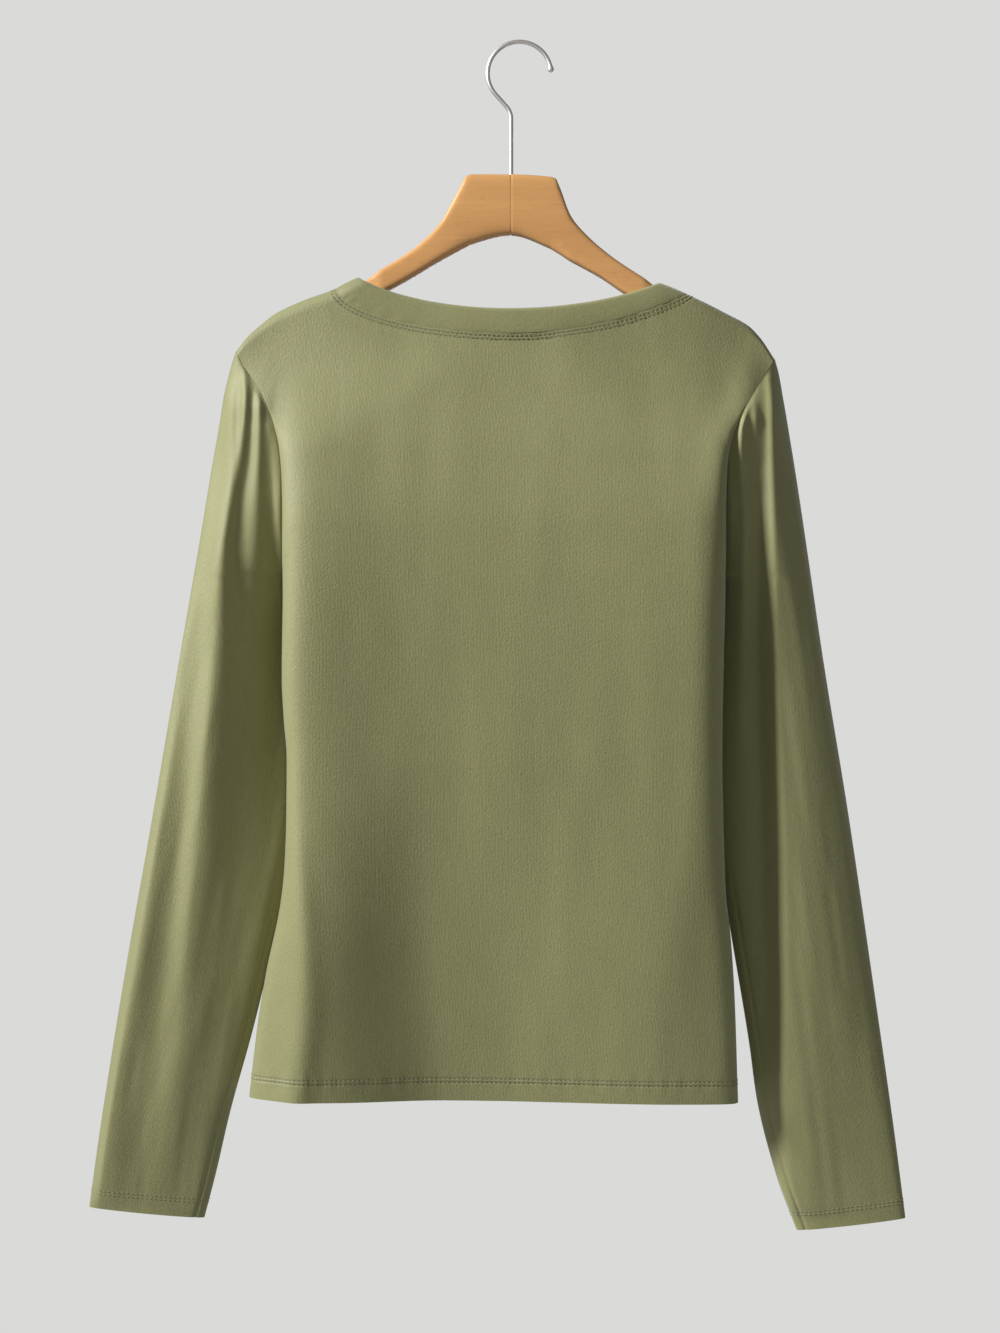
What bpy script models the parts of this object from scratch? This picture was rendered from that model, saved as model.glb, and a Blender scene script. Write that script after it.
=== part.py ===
"""A long-sleeve jersey top on a curved wooden hanger, hung up by the hanger's wire hook.

The origin is the top of the hook's inner side, where a rod carries it. +Z is up, +X is to the right
as one looks at the garment's back, and the back panel faces -Y. Tables are in millimetres, and a
place's height is given as its drop below the origin.
"""

import math

import bmesh
import bpy
import numpy as np

MM = 0.001

# Walls and gaps
JERSEY_WALL = 1.5
BAND_WALL = 2.0
SEAM_GAP = 0.3
ARMHOLE_GAP = 0.35
TIP_GAP = 0.6
REST_ON_WOOD = 2.4  # from the wood's top line to the outer face of the cloth that lies on it

# Roundness of sections: the exponents of superellipses
ARM_ROUNDNESS = 2.6
BODY_ROUNDNESS = 2.4

# The armhole's sharp turns at the underarm fade this far into the panels, or by this power of the
# way across a sleeve, and are evened out over these nearby drops
EDGE_TURN = 5.0
SEAM_TURN = 8.0
EVENED_SHARE = 0.75
EVENED_OVER = (-44.0, -33.0, -22.0, -11.0, 0.0, 11.0, 22.0, 33.0, 44.0)

# Cloth leaves the hanger arm this far below the ridge, and reaches the body's depth after this drop
LEAVES_ARM = 6.0
FALL_TO_DEPTH = 105.0

# Neck ring: the seam with the panels and the free edge, on the ridge at both ends
NECK_SEAM_HALF = 122.25
NECK_SEAM_CENTRE = 0.25
NECK_SEAM_MIDDLE_DROP = 203.4
NECK_EDGE_HALF = 103.9
NECK_EDGE_CENTRE = -2.1
NECK_EDGE_MIDDLE_DROP = 185.7
NECK_BOW_SEAM = (0.90, 0.10)  # how round the left and right halves of the back seam are
NECK_BOW_EDGE = (0.45, 0.35)
FRONT_SCOOP_SEAM = 85.0
FRONT_SCOOP_EDGE = 75.0
FRONT_SCOOP_POWER = 1.2
BAND_STANDS_OUT = 0.5

# Hook
WIRE = 3.0
HOOK_CENTRE = (5.2, -20.0)
HOOK_RADIUS = 22.2
HOOK_TIP_TURN = 2.0
HOOK_BACK_TURN = 222.0
HOOK_RUN = 11.0
HOOK_BEND = 14.0
SHANK_X = -0.6
SHANK_END_DROP = 112.0
BORE_CLEARANCE = 0.3

# Hanger halves
JOINT_GAP = 0.3
CLOTHED_FROM = (90.0, 104.0)  # the arms are slimmer past this reach, under the cloth
CLOTHED_INSET = 2.2
ARM_REACH = (-181.0, 173.5)
ARM_END_TAPER = 6.0

# Grids
SHOULDER_COLUMNS = 7
NECK_COLUMNS = 16
NECK_CROWDING = 0.06
CORNER_FAN = 9.0  # how far columns lean out from the neck corners, and over what drop
CORNER_FAN_DROP = 4.0
BAND_ROWS = 3
SLEEVE_CAP_ROWS = 9
SLEEVE_ROWS = 15
ARM_SIDES = 16
HEAD_SHARES = (0, 0.005, 0.015, 0.032, 0.06, 0.098, 0.15, 0.22, 0.3)
ARMHOLE_SHARES = HEAD_SHARES + (0.39, 0.5, 0.62, 0.76, 0.88, 0.95, 0.985, 1)
LOWER_SHARES = (0.017, 0.04, 0.075, 0.13, 0.2, 0.28, 0.37, 0.46, 0.56, 0.66, 0.76, 0.86, 0.94, 0.98, 1)

GREEN = (0.245, 0.243, 0.125, 1.0)
WOOD = (0.62, 0.34, 0.13, 1.0)
STEEL = (0.62, 0.61, 0.6, 1.0)


def smooth(at, places, values):
    """A cubic through the rows whose slopes never overshoot, read at any place; it is level outside them."""
    at = np.asarray(at, float)
    steps = np.diff(places)
    rises = np.diff(values) / steps
    slopes = np.zeros(len(places))
    slopes[0], slopes[-1] = rises[0], rises[-1]
    product = rises[:-1] * rises[1:]
    total = np.where(product > 0, rises[:-1] + rises[1:], 1.0)
    slopes[1:-1] = np.where(product > 0, 2 * product / total, 0.0)
    row = np.clip(np.searchsorted(places, at) - 1, 0, len(places) - 2)
    t = np.clip((at - places[row]) / steps[row], 0, 1)
    rise_part = values[row] * (1 + 2 * t) * (1 - t) ** 2 + values[row + 1] * t**2 * (3 - 2 * t)
    slope_part = slopes[row] * t * (1 - t) ** 2 - slopes[row + 1] * t**2 * (1 - t)
    return rise_part + slope_part * steps[row]


class Rows:
    """A short table with named columns. The first column is the place of each row."""

    def __init__(self, names, *rows):
        self.columns = dict(zip(names.split(), np.array(rows, float).T))
        self.places = self.columns[names.split()[0]]

    def at(self, place, name):
        return smooth(place, self.places, self.columns[name])


def ease(share):
    """0 to 1 with level ends."""
    share = np.clip(share, 0, 1)
    return share * share * (3 - 2 * share)


def dome(share, roundness):
    """The height of a superellipse's quarter, from 0 upright to 1 level."""
    share = np.clip(share, 0, 1)
    return (1 - (1 - share) ** roundness) ** (1 / roundness)


# The hanger's arms, left to right: where the wood's top and bottom lines run, how thick it is from
# front to back, and how far its middle is swept to the front. The first and last rows are cloth alone.
HANGER = Rows(
    "x top bottom thick swept",
    (-193.5, 216.3, 226.0, 20.0, 9.0),
    (-185.5, 206.1, 219.0, 21.0, 9.0),
    (-176.4, 197.7, 212.0, 21.0, 9.0),
    (-165.2, 189.3, 205.0, 20.0, 8.0),
    (-146.3, 180.9, 197.5, 18.0, 5.0),
    (-125.3, 173.8, 190.5, 16.0, 2.0),
    (-105.8, 165.0, 182.0, 14.0, 0.0),
    (-85.4, 154.0, 171.5, 14.0, 0.0),
    (-66.5, 141.4, 161.0, 14.0, 0.0),
    (-50.4, 125.3, 151.4, 14.0, 0.0),
    (-42.0, 110.6, 146.8, 14.0, 0.0),
    (-34.6, 96.5, 142.8, 14.0, 0.0),
    (-31.8, 92.2, 141.4, 14.0, 0.0),
    (-28.0, 91.1, 139.5, 14.0, 0.0),
    (-0.7, 91.1, 133.2, 14.0, 0.0),
    (26.0, 92.6, 142.0, 14.0, 0.0),
    (30.5, 94.0, 144.6, 14.0, 0.0),
    (33.2, 99.5, 146.2, 14.0, 0.0),
    (41.3, 120.4, 151.5, 14.0, 0.0),
    (47.6, 128.8, 154.8, 14.0, 0.0),
    (62.3, 142.8, 163.0, 14.0, 0.0),
    (79.1, 155.2, 174.3, 14.0, 0.0),
    (99.8, 167.6, 186.0, 14.0, 0.0),
    (111.3, 172.6, 190.5, 15.0, 1.0),
    (126.9, 178.8, 196.0, 16.5, 2.5),
    (149.1, 189.3, 205.0, 19.0, 6.0),
    (165.2, 197.7, 212.0, 20.5, 8.5),
    (173.6, 206.1, 219.0, 21.0, 9.0),
    (183.9, 221.4, 231.0, 20.0, 9.0),
)

# How far the two panels stand from the middle plane at the centre line
DEPTH = Rows(
    "drop back front",
    (150.0, 12.0, 12.0),
    (203.0, 16.5, 16.0),
    (240.0, 22.0, 24.0),
    (290.0, 30.0, 32.0),
    (340.0, 35.0, 37.0),
    (380.0, 36.0, 38.0),
    (450.0, 35.0, 36.0),
    (600.0, 33.0, 33.0),
    (740.0, 31.0, 30.0),
)

# The edges of the panels: the armhole from the shoulder tip to the underarm, where back and front
# meet, then the side seam to the hem. Crisp is the exponent that turns the panel into its edge.
LEFT_EDGE = Rows(
    "drop x back front crisp",
    (213.9, -193.5, 9.0, 9.0, 1.0),
    (215.2, -192.9, 4.5, 13.5, 1.0),
    (218.5, -191.2, 0.0, 17.5, 1.0),
    (225.4, -187.4, -4.5, 21.0, 1.0),
    (231.7, -182.8, -7.5, 23.5, 0.95),
    (242.0, -176.0, -10.5, 26.0, 0.9),
    (258.0, -168.4, -11.5, 28.0, 0.75),
    (268.0, -165.2, -10.5, 28.5, 0.65),
    (283.5, -161.8, -7.5, 28.0, 0.52),
    (305.0, -159.9, -4.5, 26.0, 0.45),
    (335.0, -159.2, -1.5, 22.0, 0.42),
    (356.0, -159.2, 0.8, 17.0, 0.42),
    (367.0, -159.3, 3.6, 12.8, 0.42),
    (372.0, -159.4, 8.0, 8.0, 0.42),
    (388.5, -159.2, 8.0, 8.0, 0.42),
    (444.5, -159.7, 6.0, 6.0, 0.42),
    (472.0, -158.4, 5.0, 5.0, 0.42),
    (500.5, -156.2, 4.0, 4.0, 0.42),
    (542.5, -156.5, 3.0, 3.0, 0.42),
    (577.5, -158.0, 2.5, 2.5, 0.42),
    (602.0, -161.0, 2.0, 2.0, 0.42),
    (645.4, -170.4, 1.5, 1.5, 0.42),
    (682.5, -176.7, 1.0, 1.0, 0.42),
    (733.2, -182.7, 0.0, 0.0, 0.42),
)
RIGHT_EDGE = Rows(
    "drop x back front crisp",
    (219.0, 183.9, 9.0, 9.0, 1.0),
    (220.4, 183.3, 4.5, 13.5, 1.0),
    (224.0, 181.0, 0.0, 17.5, 1.0),
    (234.5, 174.7, -6.5, 22.0, 0.95),
    (243.3, 169.1, -10.0, 25.0, 0.9),
    (255.5, 161.7, -12.0, 28.0, 0.75),
    (265.7, 156.6, -12.0, 28.5, 0.65),
    (279.3, 151.6, -10.0, 28.5, 0.52),
    (296.8, 148.8, -6.0, 27.0, 0.45),
    (330.0, 148.0, -2.0, 22.5, 0.42),
    (357.0, 148.2, 0.8, 17.0, 0.42),
    (369.0, 148.3, 3.6, 12.8, 0.42),
    (374.0, 148.4, 8.0, 8.0, 0.42),
    (430.0, 147.0, 6.5, 6.5, 0.42),
    (500.0, 145.9, 4.0, 4.0, 0.42),
    (540.0, 146.6, 3.0, 3.0, 0.42),
    (590.0, 148.3, 2.5, 2.5, 0.42),
    (624.0, 152.0, 2.0, 2.0, 0.42),
    (665.0, 154.7, 1.0, 1.0, 0.42),
    (737.5, 157.3, 0.0, 0.0, 0.42),
)
HEM_MIDDLE_DROP = 736.0

# Soft folds of the body: the line of each crest, how proud it stands, and how wide its sides are
BACK_FOLDS = (
    Rows(
        "drop x proud left right",
        (560.0, -100.0, 0.0, 20.0, 20.0),
        (640.0, -122.0, -2.5, 22.0, 20.0),
        (736.0, -134.0, -3.5, 14.0, 20.0),
    ),
    Rows(
        "drop x proud left right",
        (440.0, -70.0, 0.0, 26.0, 26.0),
        (540.0, -84.0, -2.2, 26.0, 26.0),
        (640.0, -112.0, 0.0, 24.0, 24.0),
    ),
    Rows(
        "drop x proud left right",
        (540.0, 118.0, 0.0, 20.0, 16.0),
        (620.0, 128.0, -1.8, 20.0, 14.0),
        (737.0, 132.0, -2.4, 20.0, 14.0),
    ),
    Rows(
        "drop x proud left right",
        (250.0, 0.0, 0.0, 40.0, 40.0),
        (420.0, 4.0, 1.0, 36.0, 36.0),
        (736.0, 10.0, 1.5, 40.0, 40.0),
    ),
)
FRONT_FOLDS = (
    Rows(
        "drop x proud left right",
        (300.0, -70.0, 0.0, 26.0, 26.0),
        (480.0, -82.0, -2.5, 24.0, 24.0),
        (736.0, -98.0, -3.5, 20.0, 20.0),
    ),
    Rows(
        "drop x proud left right",
        (300.0, 66.0, 0.0, 26.0, 26.0),
        (500.0, 78.0, -2.2, 24.0, 24.0),
        (736.0, 92.0, -3.2, 20.0, 20.0),
    ),
)

# Sleeves: the outer edge and the inner edge, each by its drop
LEFT_OUTER = Rows(
    "drop x y",
    (213.9, -193.5, 9.0),
    (219.0, -195.8, 9.0),
    (228.9, -198.8, 9.0),
    (245.7, -202.8, 9.0),
    (262.5, -205.4, 9.0),
    (296.0, -211.2, 9.0),
    (346.5, -219.4, 9.0),
    (430.5, -233.8, 9.0),
    (542.5, -253.0, 9.0),
    (654.5, -272.6, 8.0),
    (766.5, -290.0, 5.0),
    (813.4, -296.3, 4.0),
)
LEFT_INNER = Rows(
    "drop x y",
    (372.0, -159.8, 8.0),
    (380.0, -159.9, 9.0),
    (392.0, -159.4, 12.0),
    (410.0, -157.8, 16.0),
    (440.0, -155.4, 19.0),
    (500.0, -153.0, 19.0),
    (550.0, -154.0, 18.0),
    (584.5, -158.2, 16.5),
    (640.5, -170.4, 14.0),
    (692.3, -182.9, 12.0),
    (749.0, -198.4, 9.0),
    (790.3, -207.9, 8.0),
    (821.8, -216.0, 7.0),
)
LEFT_SECTION = Rows(
    "drop back front lean",
    (213.9, 0.0, 0.0, 0.0),
    (245.0, 3.0, 3.0, 0.0),
    (300.0, 8.0, 8.0, 0.0),
    (372.0, 15.0, 13.0, 0.0),
    (450.0, 16.0, 13.0, 1.0),
    (600.0, 13.0, 12.0, 4.0),
    (720.0, 10.0, 10.0, 6.8),
    (813.4, 7.0, 7.5, 8.4),
)
RIGHT_OUTER = Rows(
    "drop x y",
    (219.0, 183.9, 9.0),
    (222.5, 185.6, 9.0),
    (228.9, 187.6, 9.0),
    (245.7, 190.5, 9.0),
    (262.5, 193.4, 9.0),
    (296.0, 198.9, 9.0),
    (346.5, 206.3, 9.0),
    (430.5, 218.6, 9.0),
    (542.5, 236.9, 9.0),
    (654.5, 253.3, 8.0),
    (766.5, 268.9, 5.0),
    (821.1, 275.8, 4.0),
)
RIGHT_INNER = Rows(
    "drop x y",
    (374.0, 148.8, 8.0),
    (382.0, 148.9, 9.0),
    (394.0, 148.3, 12.0),
    (412.0, 146.8, 16.0),
    (440.0, 144.6, 19.0),
    (500.0, 142.6, 19.0),
    (540.0, 143.8, 18.0),
    (574.7, 147.0, 16.5),
    (624.4, 154.7, 14.0),
    (702.0, 167.4, 12.0),
    (738.5, 172.2, 10.0),
    (794.5, 186.4, 8.0),
    (830.6, 199.9, 7.0),
)
RIGHT_SECTION = Rows(
    "drop back front lean",
    (219.0, 0.0, 0.0, 0.0),
    (245.0, 2.5, 2.5, 0.0),
    (300.0, 8.0, 8.0, 0.0),
    (374.0, 15.0, 13.0, 0.0),
    (450.0, 16.0, 13.0, 1.0),
    (600.0, 13.0, 12.0, 4.5),
    (720.0, 10.0, 10.0, 7.6),
    (821.1, 7.0, 7.5, 9.5),
)

# Folds of the sleeves: the main one runs from the gathers nearly to the cuff, with short tucks at the seam
LEFT_SLEEVE_FOLDS = (
    Rows(
        "drop x proud left right",
        (240.0, -196.0, 0.5, 5.0, 5.0),
        (283.5, -195.6, 3.0, 7.0, 5.0),
        (360.5, -203.5, 7.0, 11.0, 7.0),
        (436.0, -207.0, 8.0, 13.0, 9.0),
        (512.4, -215.0, 7.5, 13.0, 10.0),
        (603.4, -222.5, 6.0, 14.0, 11.0),
        (686.0, -231.0, 4.0, 14.0, 13.0),
        (768.6, -241.0, 2.0, 14.0, 14.0),
        (805.0, -247.0, 0.3, 14.0, 14.0),
    ),
    Rows(
        "drop x proud left right",
        (226.0, -187.2, 0.6, 2.8, 2.8),
        (248.5, -185.6, 3.6, 3.2, 3.4),
        (283.5, -188.3, 3.8, 4.0, 4.0),
        (318.5, -193.0, 2.0, 5.0, 5.0),
        (350.0, -197.0, 0.0, 6.0, 6.0),
    ),
    Rows(
        "drop x proud left right",
        (242.0, -176.6, 0.4, 2.8, 2.8),
        (256.0, -175.0, 3.4, 3.2, 3.0),
        (290.0, -175.0, 4.6, 4.0, 3.4),
        (330.0, -176.5, 2.6, 6.0, 5.0),
        (372.0, -179.0, 0.0, 7.0, 6.0),
    ),
    Rows(
        "drop x proud left right",
        (330.0, -184.0, 0.0, 8.0, 8.0),
        (400.0, -184.0, -3.5, 10.0, 9.0),
        (512.0, -193.0, -4.0, 12.0, 9.0),
        (603.0, -206.0, -3.0, 12.0, 8.0),
        (720.0, -221.0, -1.5, 12.0, 8.0),
        (790.0, -232.0, 0.0, 12.0, 8.0),
    ),
)
RIGHT_SLEEVE_FOLDS = (
    Rows(
        "drop x proud left right",
        (231.0, 179.6, 0.8, 3.0, 5.0),
        (261.0, 181.5, 4.0, 4.0, 7.0),
        (322.7, 183.0, 6.5, 5.0, 12.0),
        (421.0, 186.5, 7.5, 6.0, 16.0),
        (481.6, 188.0, 7.5, 7.0, 18.0),
        (588.0, 194.0, 6.5, 8.0, 22.0),
        (655.0, 196.0, 5.0, 10.0, 22.0),
        (723.0, 198.0, 3.0, 12.0, 22.0),
        (775.0, 204.0, 0.0, 14.0, 22.0),
    ),
    Rows(
        "drop x proud left right",
        (250.0, 168.0, 0.4, 2.6, 2.6),
        (266.0, 169.5, 3.0, 3.0, 3.0),
        (300.0, 170.5, 2.0, 3.5, 3.5),
        (330.0, 171.5, 0.0, 4.0, 4.0),
    ),
    Rows(
        "drop x proud left right",
        (272.0, 157.5, 0.2, 2.8, 2.8),
        (292.0, 160.0, 3.0, 3.2, 3.6),
        (340.0, 161.5, 3.0, 4.0, 4.6),
        (420.0, 161.0, 2.0, 5.0, 5.0),
        (500.0, 160.0, 0.0, 6.0, 6.0),
    ),
    Rows(
        "drop x proud left right",
        (290.0, 172.0, 0.0, 4.0, 4.0),
        (360.0, 172.0, -3.0, 6.0, 4.0),
        (500.0, 173.5, -3.6, 9.0, 5.0),
        (620.0, 176.0, -2.5, 10.0, 6.0),
        (720.0, 181.0, 0.0, 10.0, 7.0),
    ),
)
HIDDEN_SIDE_SHARE = 0.7
HIDDEN_SIDE_SHIFT = 6.0


def swell(folds, x, drop, shift=0.0):
    """How far all the folds lift the cloth at a place: a soft bell across each one's crest line."""
    lift = np.zeros(np.broadcast(x, drop).shape)
    for fold in folds:
        across = x - fold.at(drop, "x") - shift
        wide = np.where(across < 0, fold.at(drop, "left"), fold.at(drop, "right"))
        inside = (drop >= fold.places[0]) & (drop <= fold.places[-1])
        lift += np.where(inside, fold.at(drop, "proud"), 0.0) * np.exp(-((across / wide) ** 2))
    return lift


def ridge_drop(x):
    """The outer face of the cloth where it lies on the hanger."""
    return HANGER.at(x, "top") - REST_ON_WOOD


def panel_y(side, x, drop):
    """Where a panel hangs away from its edges: over the arm's rounded top, then out to the body's depth.

    side is -1 for the back and 1 for the front.
    """
    below = np.maximum(drop - ridge_drop(x), 0)
    half_height = (HANGER.at(x, "bottom") - HANGER.at(x, "top")) / 2 + REST_ON_WOOD
    half_thick = HANGER.at(x, "thick") / 2 + REST_ON_WOOD
    on_arm = HANGER.at(x, "swept") + side * half_thick * dome(below / half_height, ARM_ROUNDNESS)
    out = side * DEPTH.at(drop, "back" if side < 0 else "front")
    return on_arm + (out - on_arm) * ease((below - LEAVES_ARM) / FALL_TO_DEPTH)


def panel_normal(side, x, drop):
    """The outward direction, in the plane across the hanger, of the surface that panel_y gives."""
    step = 0.05
    down = (panel_y(side, x, drop + step) - panel_y(side, x, drop - step)) / (2 * step)
    normal = np.stack([np.zeros_like(down), np.full_like(down, side), side * down], axis=-1)
    return normal / np.linalg.norm(normal, axis=-1, keepdims=True)


def bow(turn, round_share):
    """How far a neck line has risen, from 0 at mid back to 1 on the ridge: part ellipse, part parabola."""
    return round_share * (1 - np.sin(turn)) + (1 - round_share) * np.cos(turn) ** 2


def neck_line(turn, centre, half, middle_drop, bows, scoop):
    """A neck line's x and drop at each turn: 0 on the left ridge, over the back, pi on the right ridge."""
    x = centre - half * np.cos(turn)
    left_end, right_end = ridge_drop(centre - half), ridge_drop(centre + half)
    rising = np.where(
        np.cos(turn) > 0,
        (middle_drop - left_end) * bow(turn, bows[0]),
        (middle_drop - right_end) * bow(turn, bows[1]),
    )
    share = (1 - np.cos(turn)) / 2
    level = left_end + (right_end - left_end) * share
    deep = level + scoop * np.abs(np.sin(turn)) ** FRONT_SCOOP_POWER
    return x, np.where(np.sin(turn) >= 0, middle_drop - rising, deep)


def neck_turns():
    """Turns of the neck's columns over the back, closer together where they cross the hanger's ridge."""
    share = np.linspace(0, 1, NECK_COLUMNS + 1)
    return math.pi * (share - NECK_CROWDING * np.sin(2 * math.pi * share))


def neck_seam(turn):
    return neck_line(
        turn, NECK_SEAM_CENTRE, NECK_SEAM_HALF, NECK_SEAM_MIDDLE_DROP, NECK_BOW_SEAM, FRONT_SCOOP_SEAM
    )


def neck_edge(turn):
    return neck_line(
        turn, NECK_EDGE_CENTRE, NECK_EDGE_HALF, NECK_EDGE_MIDDLE_DROP, NECK_BOW_EDGE, FRONT_SCOOP_EDGE
    )


def grid_normals(grid, closed):
    """Unit normals of a grid of points, from its rows and columns."""
    down = np.gradient(grid, axis=0)
    if closed:
        across = np.roll(grid, -1, axis=1) - np.roll(grid, 1, axis=1)
    else:
        across = np.gradient(grid, axis=1)
    normal = np.cross(across, down)
    return normal / np.maximum(np.linalg.norm(normal, axis=-1, keepdims=True), 1e-9)


def flatten_y(normals):
    """The same normals with no part along Y, as where the front and the back meet."""
    flat = normals * np.array([1.0, 0.0, 1.0])
    return flat / np.maximum(np.linalg.norm(flat, axis=-1, keepdims=True), 1e-9)


def material(name, color, roughness, metallic=0.0):
    made = bpy.data.materials.new(name)
    made.use_nodes = True
    shader = made.node_tree.nodes["Principled BSDF"]
    shader.inputs["Base Color"].default_value = color
    shader.inputs["Roughness"].default_value = roughness
    shader.inputs["Metallic"].default_value = metallic
    return made


def add_object(name, mesh, finish):
    made = bpy.data.objects.new(name, mesh)
    bpy.context.scene.collection.objects.link(made)
    mesh.materials.append(finish)
    return made


def closed_mesh(name, points, faces, sharp_angle=60):
    """A mesh from points in millimetres, its faces turned outwards."""
    mesh = bpy.data.meshes.new(name)
    mesh.from_pydata((np.asarray(points) * MM).tolist(), [], faces)
    shape = bmesh.new()
    shape.from_mesh(mesh)
    bmesh.ops.recalc_face_normals(shape, faces=shape.faces)
    shape.to_mesh(mesh)
    shape.free()
    mesh.shade_smooth()
    mesh.set_sharp_from_angle(angle=math.radians(sharp_angle))
    return mesh


def cloth_wall(name, outer, normals, wall, closed, finish):
    """A cloth piece: a grid of points for its outer face, its inner face one wall inside, and rims."""
    rows, columns = outer.shape[:2]
    count = rows * columns
    points = np.concatenate([outer.reshape(-1, 3), (outer - normals * wall).reshape(-1, 3)])
    index = np.arange(count).reshape(rows, columns)
    if closed:
        index = np.concatenate([index, index[:, :1]], axis=1)
    corners = (index[:-1, :-1], index[:-1, 1:], index[1:, 1:], index[1:, :-1])
    quads = np.stack(corners, axis=-1).reshape(-1, 4)
    borders = [index[0], index[-1][::-1]]
    if not closed:
        borders += [index[:, 0][::-1], index[:, -1]]
    rims = [
        (int(a), int(a + count), int(b + count), int(b))
        for border in borders
        for a, b in zip(border[:-1], border[1:])
    ]
    faces = quads.tolist() + (quads[:, ::-1] + count).tolist() + rims
    return add_object(name, closed_mesh(name, points, faces), finish)


class Panel:
    """The back or the front: columns run from the shoulders and neck to the hem."""

    def __init__(self, name, side, folds):
        self.name = name
        self.side = side
        self.folds = folds
        self.armhole_rows = len(ARMHOLE_SHARES) - 1
        self.grid, self.normals = self.shape()

    def top_line(self):
        """x and drop of the top of each column: along a shoulder, round the neck, along the other."""
        step = np.linspace(0, 1, SHOULDER_COLUMNS + 1)
        gather = step * (0.35 + 0.65 * step)
        left = LEFT_EDGE.columns["x"][0] + gather * (
            NECK_SEAM_CENTRE - NECK_SEAM_HALF - LEFT_EDGE.columns["x"][0]
        )
        right = RIGHT_EDGE.columns["x"][0] + gather[::-1] * (
            NECK_SEAM_CENTRE + NECK_SEAM_HALF - RIGHT_EDGE.columns["x"][0]
        )
        turn = neck_turns()[1:-1]
        neck_x, neck_drop = neck_seam(turn if self.side < 0 else 2 * math.pi - turn)
        x = np.concatenate([left, neck_x, right])
        drop = np.concatenate([ridge_drop(left), neck_drop, ridge_drop(right)])
        fan = np.concatenate([-gather, -np.cos(turn) * np.abs(np.cos(turn)), gather[::-1]])
        return x, drop, fan * CORNER_FAN

    def shape(self):
        """The outer face and its normals."""
        top_x, top_drop, fan = self.top_line()
        columns = len(top_x)
        spread = (1 - np.cos(np.linspace(0, math.pi, columns))) / 2
        left_drop, right_drop = self.edge_drops(LEFT_EDGE), self.edge_drops(RIGHT_EDGE)
        left_x, right_x = LEFT_EDGE.at(left_drop, "x"), RIGHT_EDGE.at(right_drop, "x")

        # Each row's share of the way down, the same in every column
        down = (left_drop - left_drop[0]) / (left_drop[-1] - left_drop[0])
        hem = smooth(
            spread,
            np.array([0, 0.5, 1]),
            np.array([left_drop[-1], HEM_MIDDLE_DROP, right_drop[-1]]),
        )
        settle = 1 - (1 - np.clip(down / 0.42, 0, 1))[:, None] ** 3
        across = settle * spread + (1 - settle) * (top_x - top_x[0]) / (top_x[-1] - top_x[0])
        unfanned = left_x[:, None] + across * (right_x - left_x)[:, None]
        below_top = (left_drop - left_drop[0])[:, None]
        x = unfanned + (1 - settle) * fan * (1 - np.exp(-below_top / CORNER_FAN_DROP))
        drop = top_drop + down[:, None] * (hem - top_drop)
        drop += (1 - across) * (left_drop[:, None] - drop[:, :1])
        drop += across * (right_drop[:, None] - drop[:, -1:])
        from_edge = np.minimum(across, 1 - across)
        follows = (1 - ease(down / 0.2))[:, None] * (1 - (1 - np.clip(from_edge / 0.07, 0, 1)) ** 2)
        drop += (ridge_drop(x) - ridge_drop(top_x)) * follows

        # Blend from the hanging surface to the edges
        left_y, left_slow, left_crisp = self.edge_y(LEFT_EDGE, left_x, left_drop)
        right_y, right_slow, right_crisp = self.edge_y(RIGHT_EDGE, right_x, right_drop)
        on_left = across < 0.5
        edge = np.where(on_left, left_y[:, None], right_y[:, None])
        slow = np.where(on_left, left_slow[:, None], right_slow[:, None])
        crisp = np.where(on_left, left_crisp[:, None], right_crisp[:, None])
        inward = (1 - np.abs(2 * across - 1) ** BODY_ROUNDNESS).clip(0) ** crisp
        from_side = np.where(on_left, x - left_x[:, None], right_x[:, None] - x)
        hanging = panel_y(self.side, x, drop)
        y = slow + (hanging - slow) * inward + (edge - slow) * np.exp(-from_side / EDGE_TURN)
        y[0] = panel_y(self.side, x[0], drop[0])
        y += self.side * swell(self.folds, x, drop) * inward

        grid = np.stack([x, y, -drop], axis=-1)
        normals = grid_normals(grid, closed=False)
        if (normals[len(normals) // 2, columns // 2, 1] > 0) != (self.side > 0):
            normals = -normals
        lying = (1 - ease((down - 0.1) / 0.15))[:, None]
        lying = (lying * (1 - ease((down[:, None] - 0.03) / 0.05) * (inward < 0.8)))[..., None]
        mixed = lying * panel_normal(self.side, x, drop) + (1 - lying) * normals
        return self.set_seams(grid, mixed / np.linalg.norm(mixed, axis=-1, keepdims=True))

    def edge_y(self, edge, x, drop):
        """Where an edge stands, the same evened out along it for the cloth beside it, and how crisp it is.

        It lies on the arm's own surface at the shoulder tip, and then goes as its table says.
        """
        lying = panel_y(self.side, x, drop)
        free = ease((drop - edge.places[0] - 8) / 40)
        told = self.told_y(edge, drop)
        evened = np.mean([self.told_y(edge, drop + nearby) for nearby in EVENED_OVER], axis=0)
        return lying + (told - lying) * free, lying + (evened - lying) * free, edge.at(drop, "crisp")

    def told_y(self, edge, drop):
        told = edge.at(drop, "back" if self.side < 0 else "front")
        return np.where(drop < self.underarm(edge), told, edge.at(drop, "back"))

    def edge_drops(self, edge):
        """The drops of one edge's rows: the armhole's own shares, then the side seam's."""
        top, under, hem = edge.places[0], self.underarm(edge), edge.places[-1]
        armhole = top + np.array(ARMHOLE_SHARES) * (under - top)
        side_seam = under + np.array(LOWER_SHARES) * (hem - under)
        return np.concatenate([armhole, side_seam])

    @staticmethod
    def underarm(edge):
        """The first drop below the shoulder tip where back and front meet."""
        meets = edge.columns["back"] == edge.columns["front"]
        return edge.places[1:][meets[1:]][0]

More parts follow.
